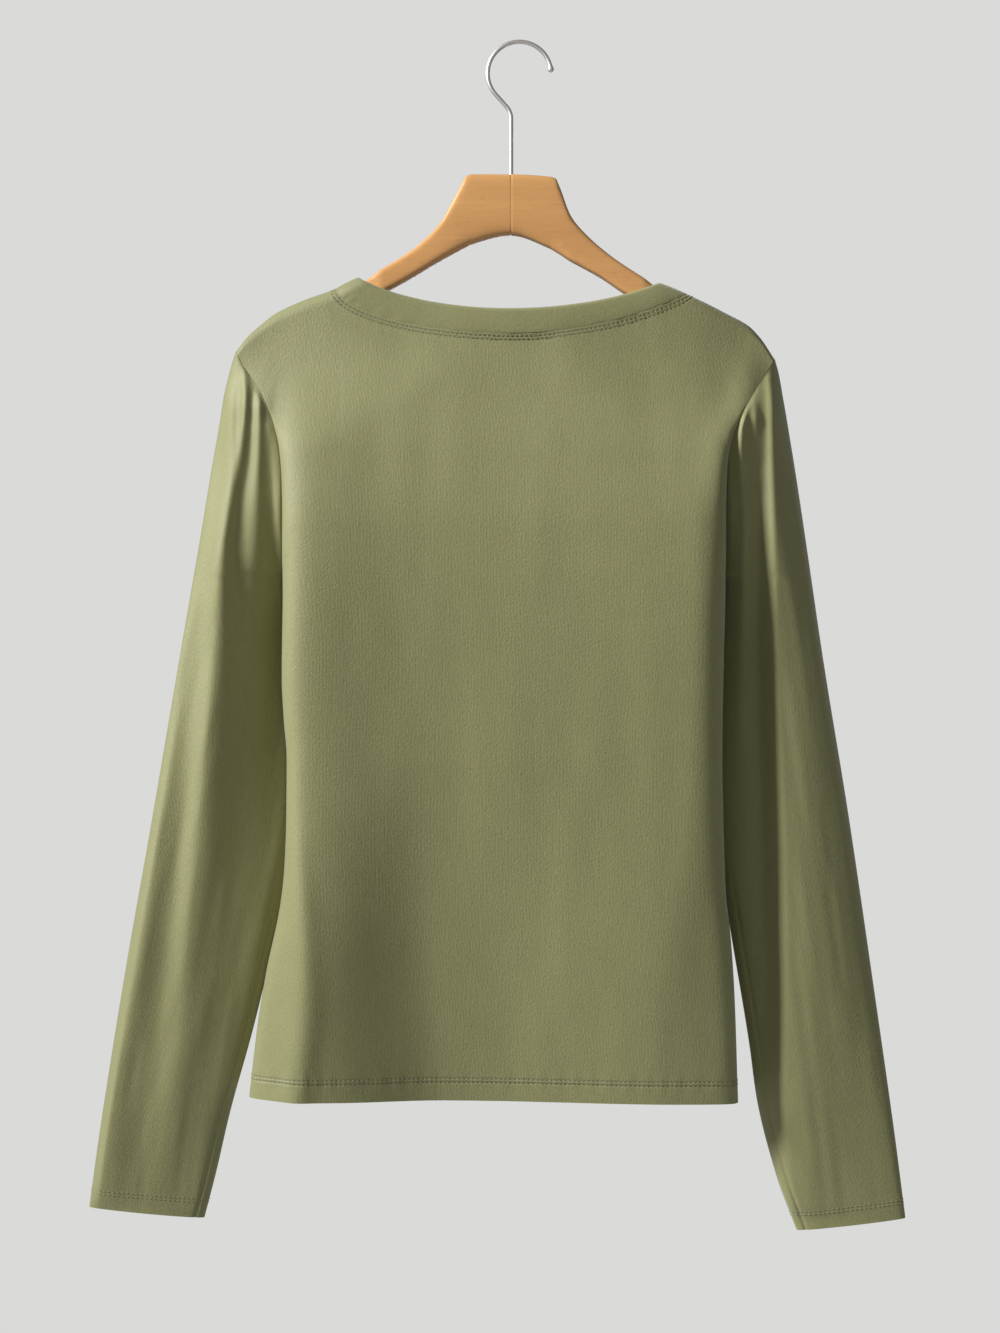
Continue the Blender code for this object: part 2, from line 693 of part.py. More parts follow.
    def set_seams(self, grid, normals):
        """Half a gap at the shoulders and sides, and normals that the neighbour shares."""
        half_gap = self.side * SEAM_GAP / 2
        shoulder = np.r_[0 : SHOULDER_COLUMNS + 1, grid.shape[1] - SHOULDER_COLUMNS - 1 : grid.shape[1]]
        grid[0, shoulder, 1] += half_gap
        normals[0, shoulder] = flatten_y(normals[0, shoulder])
        for column in (0, -1):
            grid[self.armhole_rows :, column, 1] += half_gap
            normals[self.armhole_rows :, column] = flatten_y(normals[self.armhole_rows :, column])
        neck = slice(SHOULDER_COLUMNS + 1, grid.shape[1] - SHOULDER_COLUMNS - 1)
        normals[0, neck] = panel_normal(self.side, grid[0, neck, 0], -grid[0, neck, 2])
        return grid, normals

    def build(self, finish):
        return cloth_wall(self.name, self.grid, self.normals, JERSEY_WALL, False, finish)


class Sleeve:
    """A tube of jersey that starts at the armhole of both panels and hangs to an open cuff."""

    def __init__(self, name, way, outer, inner, section, folds):
        self.name = name
        self.way = way
        self.outer = outer
        self.inner = inner
        self.section = section
        self.folds = folds

    def armhole(self, back, front):
        """The ring of seam points and the panels' normals there: down the back edge, up the front edge."""
        column = 0 if self.way < 0 else -1
        rows = back.armhole_rows
        points = np.concatenate([back.grid[: rows + 1, column], front.grid[rows - 1 : 0 : -1, column]])
        normals = np.concatenate([back.normals[: rows + 1, column], front.normals[rows - 1 : 0 : -1, column]])
        for meeting in (0, rows):
            points[meeting, 1] = (back.grid[meeting, column, 1] + front.grid[meeting, column, 1]) / 2
        near_tip = 1 - ease((-points[:, 2] - self.outer.places[0]) / 20)
        points[:, 0] += self.way * (ARMHOLE_GAP + (TIP_GAP - ARMHOLE_GAP) * near_tip)
        return points, normals

    def seam_at(self, drop, ring):
        """x and y of the seam at a drop, or of the tube's inner edge below the underarm."""
        seam_drops = -ring[:, 2]
        low = drop > seam_drops[-1]
        x = np.where(low, self.inner.at(drop, "x"), np.interp(drop, seam_drops, ring[:, 0]))
        y = np.where(low, self.inner.at(drop, "y"), np.interp(drop, seam_drops, ring[:, 1]))
        return x, y

    def evened_y(self, drop, ring):
        """The seam's y for the cloth away from it: near the underarm it is evened out along the seam."""
        sharp = self.seam_at(drop, ring)[1]
        evened = np.mean([self.seam_at(drop + nearby, ring)[1] for nearby in EVENED_OVER], axis=0)
        from_underarm = drop + ring[-1, 2]
        share = EVENED_SHARE * ease(from_underarm / 50 + 1.8) * (1 - ease(from_underarm / 36))
        return sharp + (evened - sharp) * share

    def place(self, turn, seam_turn, drop, seam_x, seam_y, slow_y, side, inner_drop):
        """Points at a drop: from the outer edge (turn 0) to the seam, or round to the inner edge."""
        share = np.clip(turn / seam_turn, 0, 1)
        folded = ease((drop - self.outer.places[0] - 20) / 90)
        half_way = (1 - np.cos(math.pi * share)) / 2
        inward = (1 - folded) * (1 - np.cos(math.pi * share / 2)) + folded * half_way
        backward = (1 - folded) * np.sin(math.pi * share / 2) + folded * half_way
        outer_x, outer_y = self.outer.at(drop, "x"), self.outer.at(drop, "y")
        x = outer_x + (seam_x - outer_x) * inward
        bulge = np.sin(math.pi * share) * folded
        depth = self.section.at(drop, "back" if side < 0 else "front")
        y = outer_y + (slow_y - outer_y) * backward + side * depth * bulge
        y = y + (seam_y - slow_y) * np.exp(-SEAM_TURN * (1 - share))
        drop_here = drop + (inner_drop - drop) * half_way
        hidden = side > 0
        strength = HIDDEN_SIDE_SHARE if hidden else 1.0
        shift = -self.way * HIDDEN_SIDE_SHIFT if hidden else 0.0
        mask = np.clip(2.2 * np.sin(math.pi * share), 0, 1) * ease(share * 5)
        y = y + side * strength * mask * swell(self.folds, x, drop_here, shift)
        return np.stack([x, y, -drop_here], axis=-1)

    def half(self, ring, side):
        """One half of the tube: lines from the seam points down to the cuff."""
        count = len(ring)
        turns = np.linspace(0, math.pi, count)
        seam_drops = -ring[:, 2]
        closes = seam_drops[-1] + 12.0
        shares = np.linspace(0, 1, SLEEVE_CAP_ROWS + 1) ** 1.35
        rows = []
        for share in shares:
            drop = seam_drops + (closes - seam_drops) * share
            seam_turn = np.maximum(np.interp(drop, seam_drops, turns), 1e-6)
            seam_x, seam_y = self.seam_at(drop, ring)
            slow_y = self.evened_y(drop, ring)
            rows.append(self.place(turns, seam_turn, drop, seam_x, seam_y, slow_y, side, drop))
        rows[0] = ring.copy()
        cuff = self.outer.places[-1]
        for share in np.linspace(0, 1, SLEEVE_ROWS + 1)[1:]:
            drop = np.full(count, closes + (cuff - closes) * share)
            inner_drop = drop + self.section.at(drop, "lean")
            inner_x, inner_y = self.inner.at(inner_drop, "x"), self.inner.at(inner_drop, "y")
            slow_y = self.evened_y(inner_drop, ring)
            rows.append(self.place(turns, math.pi, drop, inner_x, inner_y, slow_y, side, inner_drop))
        return np.array(rows)

    def shape(self, back, front):
        ring, seam_normals = self.armhole(back, front)
        rows = back.armhole_rows
        back_half = self.half(ring[: rows + 1], -1)
        front_half = self.half(np.concatenate([ring[:1], ring[: rows - 1 : -1]]), 1)
        grid = np.concatenate([back_half, front_half[:, -2:0:-1]], axis=1)
        normals = grid_normals(grid, closed=True)
        middle = grid.mean(axis=1, keepdims=True)
        if np.sum((grid - middle) * normals) < 0:
            normals = -normals
        # The first rows share the panels' normals at the shoulder tip. At the underarm their wall
        # stands straight inwards, away from the body.
        folded = ease((-ring[:, 2] - self.outer.places[0] - 20) / 90)[:, None]
        near = ease((-ring[:, 2] - (-ring[rows, 2] - 32)) / 26)[:, None]
        inwards = np.array([-self.way, 0.0, 0.0])
        for row, share in enumerate((1.0, 0.7, 0.4, 0.2, 0.0)):
            for _ in range(3):
                normals[row] = (normals[row] * 2 + np.roll(normals[row], 1, 0) + np.roll(normals[row], -1, 0)) / 4
            normals[row] += (seam_normals - normals[row]) * (1 - folded) * share
            normals[row] += (inwards - normals[row]) * near * share
            normals[row] /= np.linalg.norm(normals[row], axis=-1, keepdims=True)
        return grid, normals

    def build(self, back, front, finish):
        grid, normals = self.shape(back, front)
        return cloth_wall(self.name, grid, normals, JERSEY_WALL, True, finish)


def neckband(finish):
    """A folded strip all round the neck: it carries on the panels' surface from the seam to the free edge."""
    over_back = neck_turns()
    turn = np.concatenate([over_back, math.pi + over_back[1:-1]])
    side = np.where(np.sin(turn) >= -1e-9, -1, 1)
    seam_x, seam_drop = neck_seam(turn)
    edge_x, edge_drop = neck_edge(turn)
    width = np.hypot(edge_x - seam_x, edge_drop - seam_drop)
    start = SEAM_GAP / width
    shares = start + (1 - start) * np.linspace(0, 1, BAND_ROWS + 1)[:, None]
    x = seam_x + (edge_x - seam_x) * shares
    drop = seam_drop + (edge_drop - seam_drop) * shares
    crossing = np.abs(np.sin(turn)) < 1e-6
    drop[:, crossing] = ridge_drop(x[:, crossing])
    normals = np.where(
        side[:, None] < 0, panel_normal(-1, x, drop), panel_normal(1, x, drop)
    )
    y = np.where(side < 0, panel_y(-1, x, drop), panel_y(1, x, drop))
    normals[:, crossing] = (0.0, 0.0, 1.0)
    grid = np.stack([x, y, -drop], axis=-1)
    grid += normals * (BAND_STANDS_OUT * np.sin(math.pi * shares) ** 0.5)[..., None].clip(0)
    return cloth_wall("neckband", grid, normals, BAND_WALL, True, finish)


def hanger_arm(name, way, finish, bore):
    """Half a hanger: rounded sections along the arm, closed at the joint and at the tip."""
    joint = SHANK_X + way * JOINT_GAP / 2
    tip = ARM_REACH[0] if way < 0 else ARM_REACH[1]
    inside = (way * HANGER.places > way * joint + 1) & (way * HANGER.places < way * tip - ARM_END_TAPER)
    stations = HANGER.places[inside][::way]
    between = (stations[1:] + stations[:-1]) / 2
    wide = np.abs(np.diff(stations)) > 12
    stations = np.concatenate([stations, between[wide]])
    tapers = tip - way * ARM_END_TAPER * np.array([1.0, 0.6, 0.25, 0.04])
    stations = np.concatenate([[joint], np.sort(stations)[::way], tapers])
    from_tip = np.clip(way * (tip - stations) / ARM_END_TAPER, 0, 1)
    shrink = np.sqrt(np.clip(1 - (1 - from_tip) ** 2, 0.02, 1))[:, None]
    turn = np.linspace(0, 2 * math.pi, ARM_SIDES, endpoint=False) + math.pi / ARM_SIDES
    round_y = np.sign(np.cos(turn)) * np.abs(np.cos(turn)) ** (2 / ARM_ROUNDNESS)
    round_z = np.sign(np.sin(turn)) * np.abs(np.sin(turn)) ** (2 / ARM_ROUNDNESS)
    inset = CLOTHED_INSET * ease((way * stations - CLOTHED_FROM[0]) / np.diff(CLOTHED_FROM))[:, None]
    top, bottom = HANGER.at(stations, "top")[:, None] + inset, HANGER.at(stations, "bottom")[:, None] - inset
    half_thick = HANGER.at(stations, "thick")[:, None] / 2 - inset
    y = HANGER.at(stations, "swept")[:, None] + half_thick * shrink * round_y
    z = -(top + bottom) / 2 + (bottom - top) / 2 * shrink * round_z
    points = np.stack([np.broadcast_to(stations[:, None], y.shape), y, z], axis=-1)
    rings = np.arange(points.shape[0] * ARM_SIDES).reshape(-1, ARM_SIDES)
    wrapped = np.concatenate([rings, rings[:, :1]], axis=1)
    corners = (wrapped[:-1, :-1], wrapped[:-1, 1:], wrapped[1:, 1:], wrapped[1:, :-1])
    faces = np.stack(corners, axis=-1).reshape(-1, 4).tolist()
    faces += [rings[0][::-1].tolist(), rings[-1].tolist()]
    arm = add_object(name, closed_mesh(name, points.reshape(-1, 3), faces, 40), finish)
    cut = arm.modifiers.new("Bore for the hook", "BOOLEAN")
    cut.operation = "DIFFERENCE"
    cut.solver = "EXACT"
    cut.object = bore
    return arm


def hook_path():
    """The wire's middle line from its tip over the arc, down the run and the bend, into the wood."""
    turns = np.radians(np.linspace(HOOK_TIP_TURN, HOOK_BACK_TURN, 30))
    arc = np.stack(
        [HOOK_CENTRE[0] + HOOK_RADIUS * np.cos(turns), HOOK_CENTRE[1] + HOOK_RADIUS * np.sin(turns)], axis=1
    )
    heading = math.radians(HOOK_BACK_TURN - 180)
    run = arc[-1] + HOOK_RUN * np.array([math.sin(heading), -math.cos(heading)])
    swing = heading * (1 - np.linspace(0, 1, 7))
    centre = run + HOOK_BEND * np.array([-math.cos(heading), -math.sin(heading)])
    bend = centre + HOOK_BEND * np.stack([np.cos(swing), np.sin(swing)], axis=1)
    bend[:, 0] += (SHANK_X - bend[-1, 0]) * np.linspace(0, 1, 7)
    shank = [(SHANK_X, drop) for drop in np.linspace(bend[-1, 1] - 8, -SHANK_END_DROP, 4)]
    return np.concatenate([arc, bend, shank])


def hook(finish):
    """Bent wire with a small bead at its tip."""
    path = hook_path()
    curve = bpy.data.curves.new("hanger_hook", "CURVE")
    curve.dimensions = "3D"
    curve.bevel_depth = WIRE / 2 * MM
    curve.bevel_resolution = 2
    curve.use_fill_caps = True
    line = curve.splines.new("POLY")
    line.points.add(len(path) - 1)
    bead = (0.55, 1.1, 1.4, 1.25)
    for point, (x, z) in zip(line.points, path):
        point.co = (x * MM, 0.0, z * MM, 1.0)
    for point, size in zip(line.points, bead):
        point.radius = size
    made = bpy.data.objects.new("hanger_hook", curve)
    bpy.context.scene.collection.objects.link(made)
    curve.materials.append(finish)
    return made


def hook_bore():
    """The cutter for the hole that the shank stands in."""
    depth = SHANK_END_DROP + 1.0 - 60.0
    shape = bmesh.new()
    bmesh.ops.create_cone(
        shape,
        cap_ends=True,
        segments=16,
        radius1=(WIRE / 2 + BORE_CLEARANCE) * MM,
        radius2=(WIRE / 2 + BORE_CLEARANCE) * MM,
        depth=depth * MM,
    )
    mesh = bpy.data.meshes.new("hook_bore")
    shape.to_mesh(mesh)
    shape.free()
    cutter = bpy.data.objects.new("hook_bore", mesh)
    cutter.location = (SHANK_X * MM, 0.0, -(60.0 + depth / 2) * MM)
    cutter.hide_render = True
    cutter.display_type = "WIRE"
    bpy.context.scene.collection.objects.link(cutter)
    return cutter


def main():
    for existing in list(bpy.data.objects):
        bpy.data.objects.remove(existing, do_unlink=True)
    jersey = material("jersey", GREEN, 0.75)
    rib = material("band_jersey", GREEN, 0.75)
    wood = material("lacquered_wood", WOOD, 0.35)
    steel = material("steel_wire", STEEL, 0.25, metallic=1.0)
    back = Panel("back", -1, BACK_FOLDS)
    front = Panel("front", 1, FRONT_FOLDS)
    back.build(jersey)
    front.build(jersey)
    left = Sleeve("sleeve_left", -1, LEFT_OUTER, LEFT_INNER, LEFT_SECTION, LEFT_SLEEVE_FOLDS)
    right = Sleeve("sleeve_right", 1, RIGHT_OUTER, RIGHT_INNER, RIGHT_SECTION, RIGHT_SLEEVE_FOLDS)
    left.build(back, front, jersey)
    right.build(back, front, jersey)
    neckband(rib)
    bore = hook_bore()
    hanger_arm("hanger_arm_left", -1, wood, bore)
    hanger_arm("hanger_arm_right", 1, wood, bore)
    hook(steel)


main()
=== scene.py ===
"""A long-sleeve jersey top on a curved wooden hanger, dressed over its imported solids.

Places are in millimetres until a mesh is made. A place's height is told as its drop, the distance
below the origin, which is where the hook bears on its rod. The garment's back faces -Y.
"""

import enum
import logging
import math
from dataclasses import dataclass, field

import bpy
import numpy as np
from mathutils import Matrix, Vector
from numpy.typing import NDArray


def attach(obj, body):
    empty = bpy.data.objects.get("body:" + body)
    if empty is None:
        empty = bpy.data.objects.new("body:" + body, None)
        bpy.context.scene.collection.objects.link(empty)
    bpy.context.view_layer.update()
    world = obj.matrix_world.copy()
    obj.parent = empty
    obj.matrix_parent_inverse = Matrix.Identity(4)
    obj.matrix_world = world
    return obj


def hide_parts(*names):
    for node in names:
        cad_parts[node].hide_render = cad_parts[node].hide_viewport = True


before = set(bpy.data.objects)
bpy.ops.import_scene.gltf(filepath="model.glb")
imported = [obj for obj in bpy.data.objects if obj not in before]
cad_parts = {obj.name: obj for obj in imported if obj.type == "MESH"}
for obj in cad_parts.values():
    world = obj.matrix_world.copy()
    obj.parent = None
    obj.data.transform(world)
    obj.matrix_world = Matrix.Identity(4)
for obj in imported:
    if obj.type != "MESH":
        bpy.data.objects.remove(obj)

Array = NDArray[np.float64]
Line = tuple[Array, Array]
Pair = tuple[float, float]
Color = tuple[float, float, float]
Wrinkles = tuple[tuple[float, Pair, int], ...]
Piece = bpy.types.Object
Socket = bpy.types.NodeSocket
MM = 0.001
# An edge's Y is evened out over these distances along it.
NEARBY = np.linspace(-44, 44, 9)
FAR_FROM_STITCHES, FAR_FROM_NECK = 9.0, 99.0
CLOTH_EDGE, WOOD_EDGE = math.radians(55), math.radians(50)
# How far a turned-up hem's step starts beyond the hem's depth, and how long the step is.
HEM_STEP = (0.6, 1.6)
log = logging.getLogger("top")


def smooth(at: Array | float, places: Array, values: Array) -> Array:
    """Reads a cubic through given rows, whose slopes are harmonic means so that it never overshoots.

    Args:
        at: Places to read.
        places: The rows' places, rising.
        values: The rows' values.

    Returns:
        The values there, level outside the first and last rows.
    """
    at = np.asarray(at, float)
    steps = np.diff(places)
    rises = np.diff(values) / steps
    slopes = np.zeros(len(places))
    slopes[0], slopes[-1] = rises[0], rises[-1]
    product = rises[:-1] * rises[1:]
    total = np.where(product > 0, rises[:-1] + rises[1:], 1.0)
    slopes[1:-1] = np.where(product > 0, 2 * product / total, 0.0)
    row = np.clip(np.searchsorted(places, at) - 1, 0, len(places) - 2)
    t = np.clip((at - places[row]) / steps[row], 0, 1)
    rise_part = values[row] * (1 + 2 * t) * (1 - t) ** 2 + values[row + 1] * t**2 * (3 - 2 * t)
    slope_part = slopes[row] * t * (1 - t) ** 2 - slopes[row + 1] * t**2 * (1 - t)
    return rise_part + slope_part * steps[row]


def ease(share: Array | float) -> Array:
    """Returns 0 to 1 with level ends: 3 s squared minus 2 s cubed."""
    share = np.clip(share, 0, 1)
    return share * share * (3 - 2 * share)


def ramp(value: Array | float, start: float, over: float) -> Array:
    """Returns 0 up to the start, easing to 1 over the distance after it."""
    return ease((value - start) / over)


def dome(share: Array | float, roundness: float) -> Array:
    """Returns the height of a superellipse's quarter, from 0 upright to 1 level."""
    share = np.clip(share, 0, 1)
    return (1 - (1 - share) ** roundness) ** (1 / roundness)


def bell(distance: Array | float, width: Array | float) -> Array:
    """Returns a soft bell: e to the minus of distance over width squared."""
    return np.exp(-((distance / width) ** 2))


def soft_noise(u: Array, v: Array, cell: Pair, seed: int) -> Array:
    """Smooth uneven values, eased between random numbers on a lattice.

    Args:
        u: First coordinate in millimetres.
        v: Second coordinate in millimetres.
        cell: The lattice's spacing along each.
        seed: Fixes the random numbers.

    Returns:
        Values from -1 to 1.
    """
    lattice = np.random.default_rng(seed).uniform(-1, 1, (97, 97))
    a, b = np.broadcast_arrays(u / cell[0] + 400.0, v / cell[1] + 400.0)
    i, j = np.floor(a).astype(int), np.floor(b).astype(int)
    s, t = ease(a - i), ease(b - j)
    i, j, k, m = i % 97, j % 97, (i + 1) % 97, (j + 1) % 97
    low = lattice[i, j] * (1 - s) + lattice[k, j] * s
    high = lattice[i, m] * (1 - s) + lattice[k, m] * s
    return low * (1 - t) + high * t


def unit(vectors: Array) -> Array:
    """Returns the vectors scaled to length one."""
    return vectors / np.maximum(np.linalg.norm(vectors, axis=-1, keepdims=True), 1e-9)


class Table:
    """A short table with named columns; the first column is each row's place."""

    def __init__(self, names: str, *rows: tuple[float, ...]) -> None:
        """Keeps the columns by name.

        Args:
            names: The columns' names, with spaces between.
            rows: The rows' numbers.
        """
        self.columns: dict[str, Array] = dict(zip(names.split(), np.array(rows, float).T))
        self.places: Array = self.columns[names.split()[0]]

    def at(self, place: Array | float, name: str) -> Array:
        """Returns a column's value at any place."""
        return smooth(place, self.places, self.columns[name])


class Side(enum.Enum):
    """Which face of the garment a piece belongs to, as the sign of its outward Y."""

    BACK = -1
    FRONT = 1

    @property
    def word(self) -> str:
        """The name of this side's column in a table."""
        return self.name.lower()


class Hand(enum.Enum):
    """Which side of the photograph a piece is on, as the sign of X."""

    LEFT = -1
    RIGHT = 1


class Folds:
    """Soft folds: rows give each crest's line, how proud it stands and how wide each flank is."""

    def __init__(self, *crests: tuple[tuple[float, ...], ...]) -> None:
        """Makes a table of each crest's rows."""
        self.tables = [Table("drop x proud left right", *rows) for rows in crests]

    def lift(self, x: Array, drop: Array, shift: float = 0.0) -> Array:
        """Adds up a soft bell across every crest line.

        Args:
            x: Places across.
            drop: Places down.
            shift: Moves all crests across.

        Returns:
            How far the cloth is lifted, in millimetres.
        """
        lift = np.zeros(np.broadcast(x, drop).shape)
        for fold in self.tables:
            across = x - fold.at(drop, "x") - shift
            wide = np.where(across < 0, fold.at(drop, "left"), fold.at(drop, "right"))
            ends = ease((drop - fold.places[0]) / 6 + 0.5) * ease((fold.places[-1] - drop) / 6 + 0.5)
            lift += ends * fold.at(drop, "proud") * bell(across, wide)
        return lift


WOOD = Table(
    "x top bottom thick swept",
    (-193.5, 216.3, 226, 20, 9), (-185.5, 206.1, 219, 21, 9), (-176.4, 197.7, 212, 21, 9),
    (-165.2, 189.3, 205, 20, 8), (-146.3, 180.9, 197.5, 18, 5), (-125.3, 173.8, 190.5, 16, 2),
    (-105.8, 165, 182, 14, 0), (-85.4, 154, 171.5, 14, 0), (-66.5, 141.4, 161, 14, 0),
    (-50.4, 125.3, 151.4, 14, 0), (-42, 110.6, 146.8, 14, 0), (-34.6, 96.5, 142.8, 14, 0),
    (-31.8, 92.2, 141.4, 14, 0), (-28, 91.1, 139.5, 14, 0), (-0.7, 91.1, 133.2, 14, 0),
    (26, 92.6, 142, 14, 0), (30.5, 94, 144.6, 14, 0), (33.2, 99.5, 146.2, 14, 0),
    (41.3, 120.4, 151.5, 14, 0), (47.6, 128.8, 154.8, 14, 0), (62.3, 142.8, 163, 14, 0),
    (79.1, 155.2, 174.3, 14, 0), (99.8, 167.6, 186, 14, 0), (111.3, 172.6, 190.5, 15, 1),
    (126.9, 178.8, 196, 16.5, 2.5), (149.1, 189.3, 205, 19, 6), (165.2, 197.7, 212, 20.5, 8.5),
    (173.6, 206.1, 219, 21, 9), (183.9, 221.4, 231, 20, 9),
)
UNDER_CLOTH = Table(
    "x top",
    *sorted(
        [row for row in zip(WOOD.places, WOOD.columns["top"]) if abs(row[0]) > 75]
        + [(-60, 137), (-30, 115), (0, 106), (30, 115), (60, 139.5)]
    ),
)


@dataclass(frozen=True)
class HangerForm:
    """Where the wooden arms run, and the smoother line that the cloth's top follows past the neck."""

    lines: Table = WOOD
    under_cloth: Table = UNDER_CLOTH
    rest_on_wood: float = 2.4
    roundness: float = 2.6

    def ridge(self, x: Array | float) -> Array:
        """Returns the drop of the outer face of cloth on the arm, carried on smoothly past the neck."""
        return self.under_cloth.at(x, "top") - self.rest_on_wood


@dataclass(frozen=True)
class NeckLine:
    """A line round the neck: its middle, half its width, its drop at mid back, its bows and its scoop."""

    centre: float
    half: float
    middle: float
    bows: Pair
    scoop: float


@dataclass(frozen=True)
class BodyForm:
    """How the body of the garment hangs from the arms, and the lines of its neck."""

    hanger: HangerForm
    depth: Table = Table(
        "drop back front",
        (150, 12, 12), (203, 14, 16), (240, 19, 24), (290, 28.5, 32), (340, 35, 37),
        (380, 36, 38), (450, 35, 36), (600, 31, 33), (740, 23, 30),
    )
    leaves_arm: float = 6.0
    fall_to_depth: float = 105.0
    seam: NeckLine = NeckLine(0.25, 122.25, 203.4, (0.90, 0.10), 85.0)
    edge: NeckLine = NeckLine(-2.1, 103.9, 185.7, (0.45, 0.35), 75.0)
    scoop_power: float = 1.2
    crowding: float = 0.06

    def y(self, side: Side, x: Array, drop: Array) -> Array:
        """Where a panel hangs away from its edges.

        It lies on the arm as a superellipse of the arm's own section, then eases out to the body's
        depth over the first drop below the ridge.

        Args:
            side: Back or front.
            x: Places across.
            drop: Places down.

        Returns:
            Y in millimetres.
        """
        below = np.maximum(drop - self.hanger.ridge(x), 0)
        lines, rest = self.hanger.lines, self.hanger.rest_on_wood
        half_height = (lines.at(x, "bottom") - lines.at(x, "top")) / 2 + rest
        half_thick = lines.at(x, "thick") / 2 + rest
        round_arm = dome(below / half_height, self.hanger.roundness)
        on_arm = lines.at(x, "swept") + side.value * half_thick * round_arm
        out = side.value * self.depth.at(drop, side.word)
        return on_arm + (out - on_arm) * ease((below - self.leaves_arm) / self.fall_to_depth)

    def normal(self, side: Side, x: Array, drop: Array) -> Array:
        """Returns the outward direction in the plane across the hanger, by central difference."""
        step = 0.05
        down = (self.y(side, x, drop + step) - self.y(side, x, drop - step)) / (2 * step)
        parts = np.zeros_like(down), np.full_like(down, side.value), side.value * down
        return unit(np.stack(parts, axis=-1))

    def turns(self, share: Array) -> Array:
        """Returns turns over the back for shares of 0 to 1, closer together at the ridge."""
        return math.pi * (share - self.crowding * np.sin(2 * math.pi * share))

    def line(self, told: NeckLine, turn: Array) -> Line:
        """A line round the neck, from the left ridge over the back to the right one, and round the front.

        Over the back it rises from its middle as part ellipse, part parabola. Over the front it sinks
        by the scoop times a power of the turn's sine.

        Args:
            told: The line's sizes; its bows say how round the left and right halves are.
            turn: 0 on the left ridge, pi on the right one, up to 2 pi round the front.

        Returns:
            X and drop.
        """
        x = told.centre - told.half * np.cos(turn)
        ends = self.hanger.ridge(told.centre - told.half), self.hanger.ridge(told.centre + told.half)
        sine, cosine = np.sin(turn), np.cos(turn)
        bent = (bow * (1 - sine) + (1 - bow) * cosine**2 for bow in told.bows)
        left, right = ((told.middle - end) * rise for end, rise in zip(ends, bent))
        level = ends[0] + (ends[1] - ends[0]) * (1 - cosine) / 2
        deep = level + told.scoop * np.abs(sine) ** self.scoop_power
        return x, np.where(sine >= 0, told.middle - np.where(cosine > 0, left, right), deep)


def turned_up(above: Array, deep: float, proud: float) -> Array:
    """Returns the relief of a doubled hem, at heights above its edge."""
    return proud * ease((deep + HEM_STEP[0] - above) / HEM_STEP[1])


def grid_normals(grid: Array, closed: bool) -> Array:
    """Returns unit normals of a grid: the cross product of its differences across and down."""
    down = np.gradient(grid, axis=0)
    if closed:
        across = np.roll(grid, -1, axis=1) - np.roll(grid, 1, axis=1)
    else:
        across = np.gradient(grid, axis=1)
    return unit(np.cross(across, down))


def lengths(grid: Array, axis: int) -> Array:
    """Returns distances along a grid's lines, counted from their first points."""
    steps = np.linalg.norm(np.diff(grid, axis=axis), axis=-1)
    pad = [(0, 0), (0, 0)]
    pad[axis] = (1, 0)
    return np.cumsum(np.pad(steps, pad), axis=axis)


def level_line(grid: Array, normals: Array, height: Array, at: float, closed: bool = False) -> Line:
    """A line across a grid where each of its columns falls to a height.

    Args:
        grid: The grid's points.
        normals: Its normals.
        height: The height of each point above the lower edge.
        at: The line's height.
        closed: Whether the first point is told once more at the end.

    Returns:
        Points and normals, one for each column.
    """
    column = np.arange(grid.shape[1] + closed) % grid.shape[1]
    row = np.argmax(height <= at, axis=0)[column]
    high, low = height[row - 1, column], height[row, column]
    share = ((high - at) / (high - low))[:, None]
    points, out = (a[row - 1, column] * (1 - share) + a[row, column] * share for a in (grid, normals))
    return points, unit(out)


def put_piece(name: str, mesh: bpy.types.Mesh, finish: "Finish", node: str = "") -> Piece:
    """Puts a mesh in the scene as a finished piece of the one body.

    Args:
        name: The piece's name.
        mesh: Its mesh.
        finish: Its finish.
        node: The plain solid that it replaces, if any.

    Returns:
        The new piece.
    """
    made = bpy.data.objects.new(name, mesh)
    bpy.context.scene.collection.objects.link(made)
    finish.dress(made)
    if node:
        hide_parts(node)
    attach(made, "root")
    log.info("%s: %d faces", name, len(mesh.polygons))
    return made


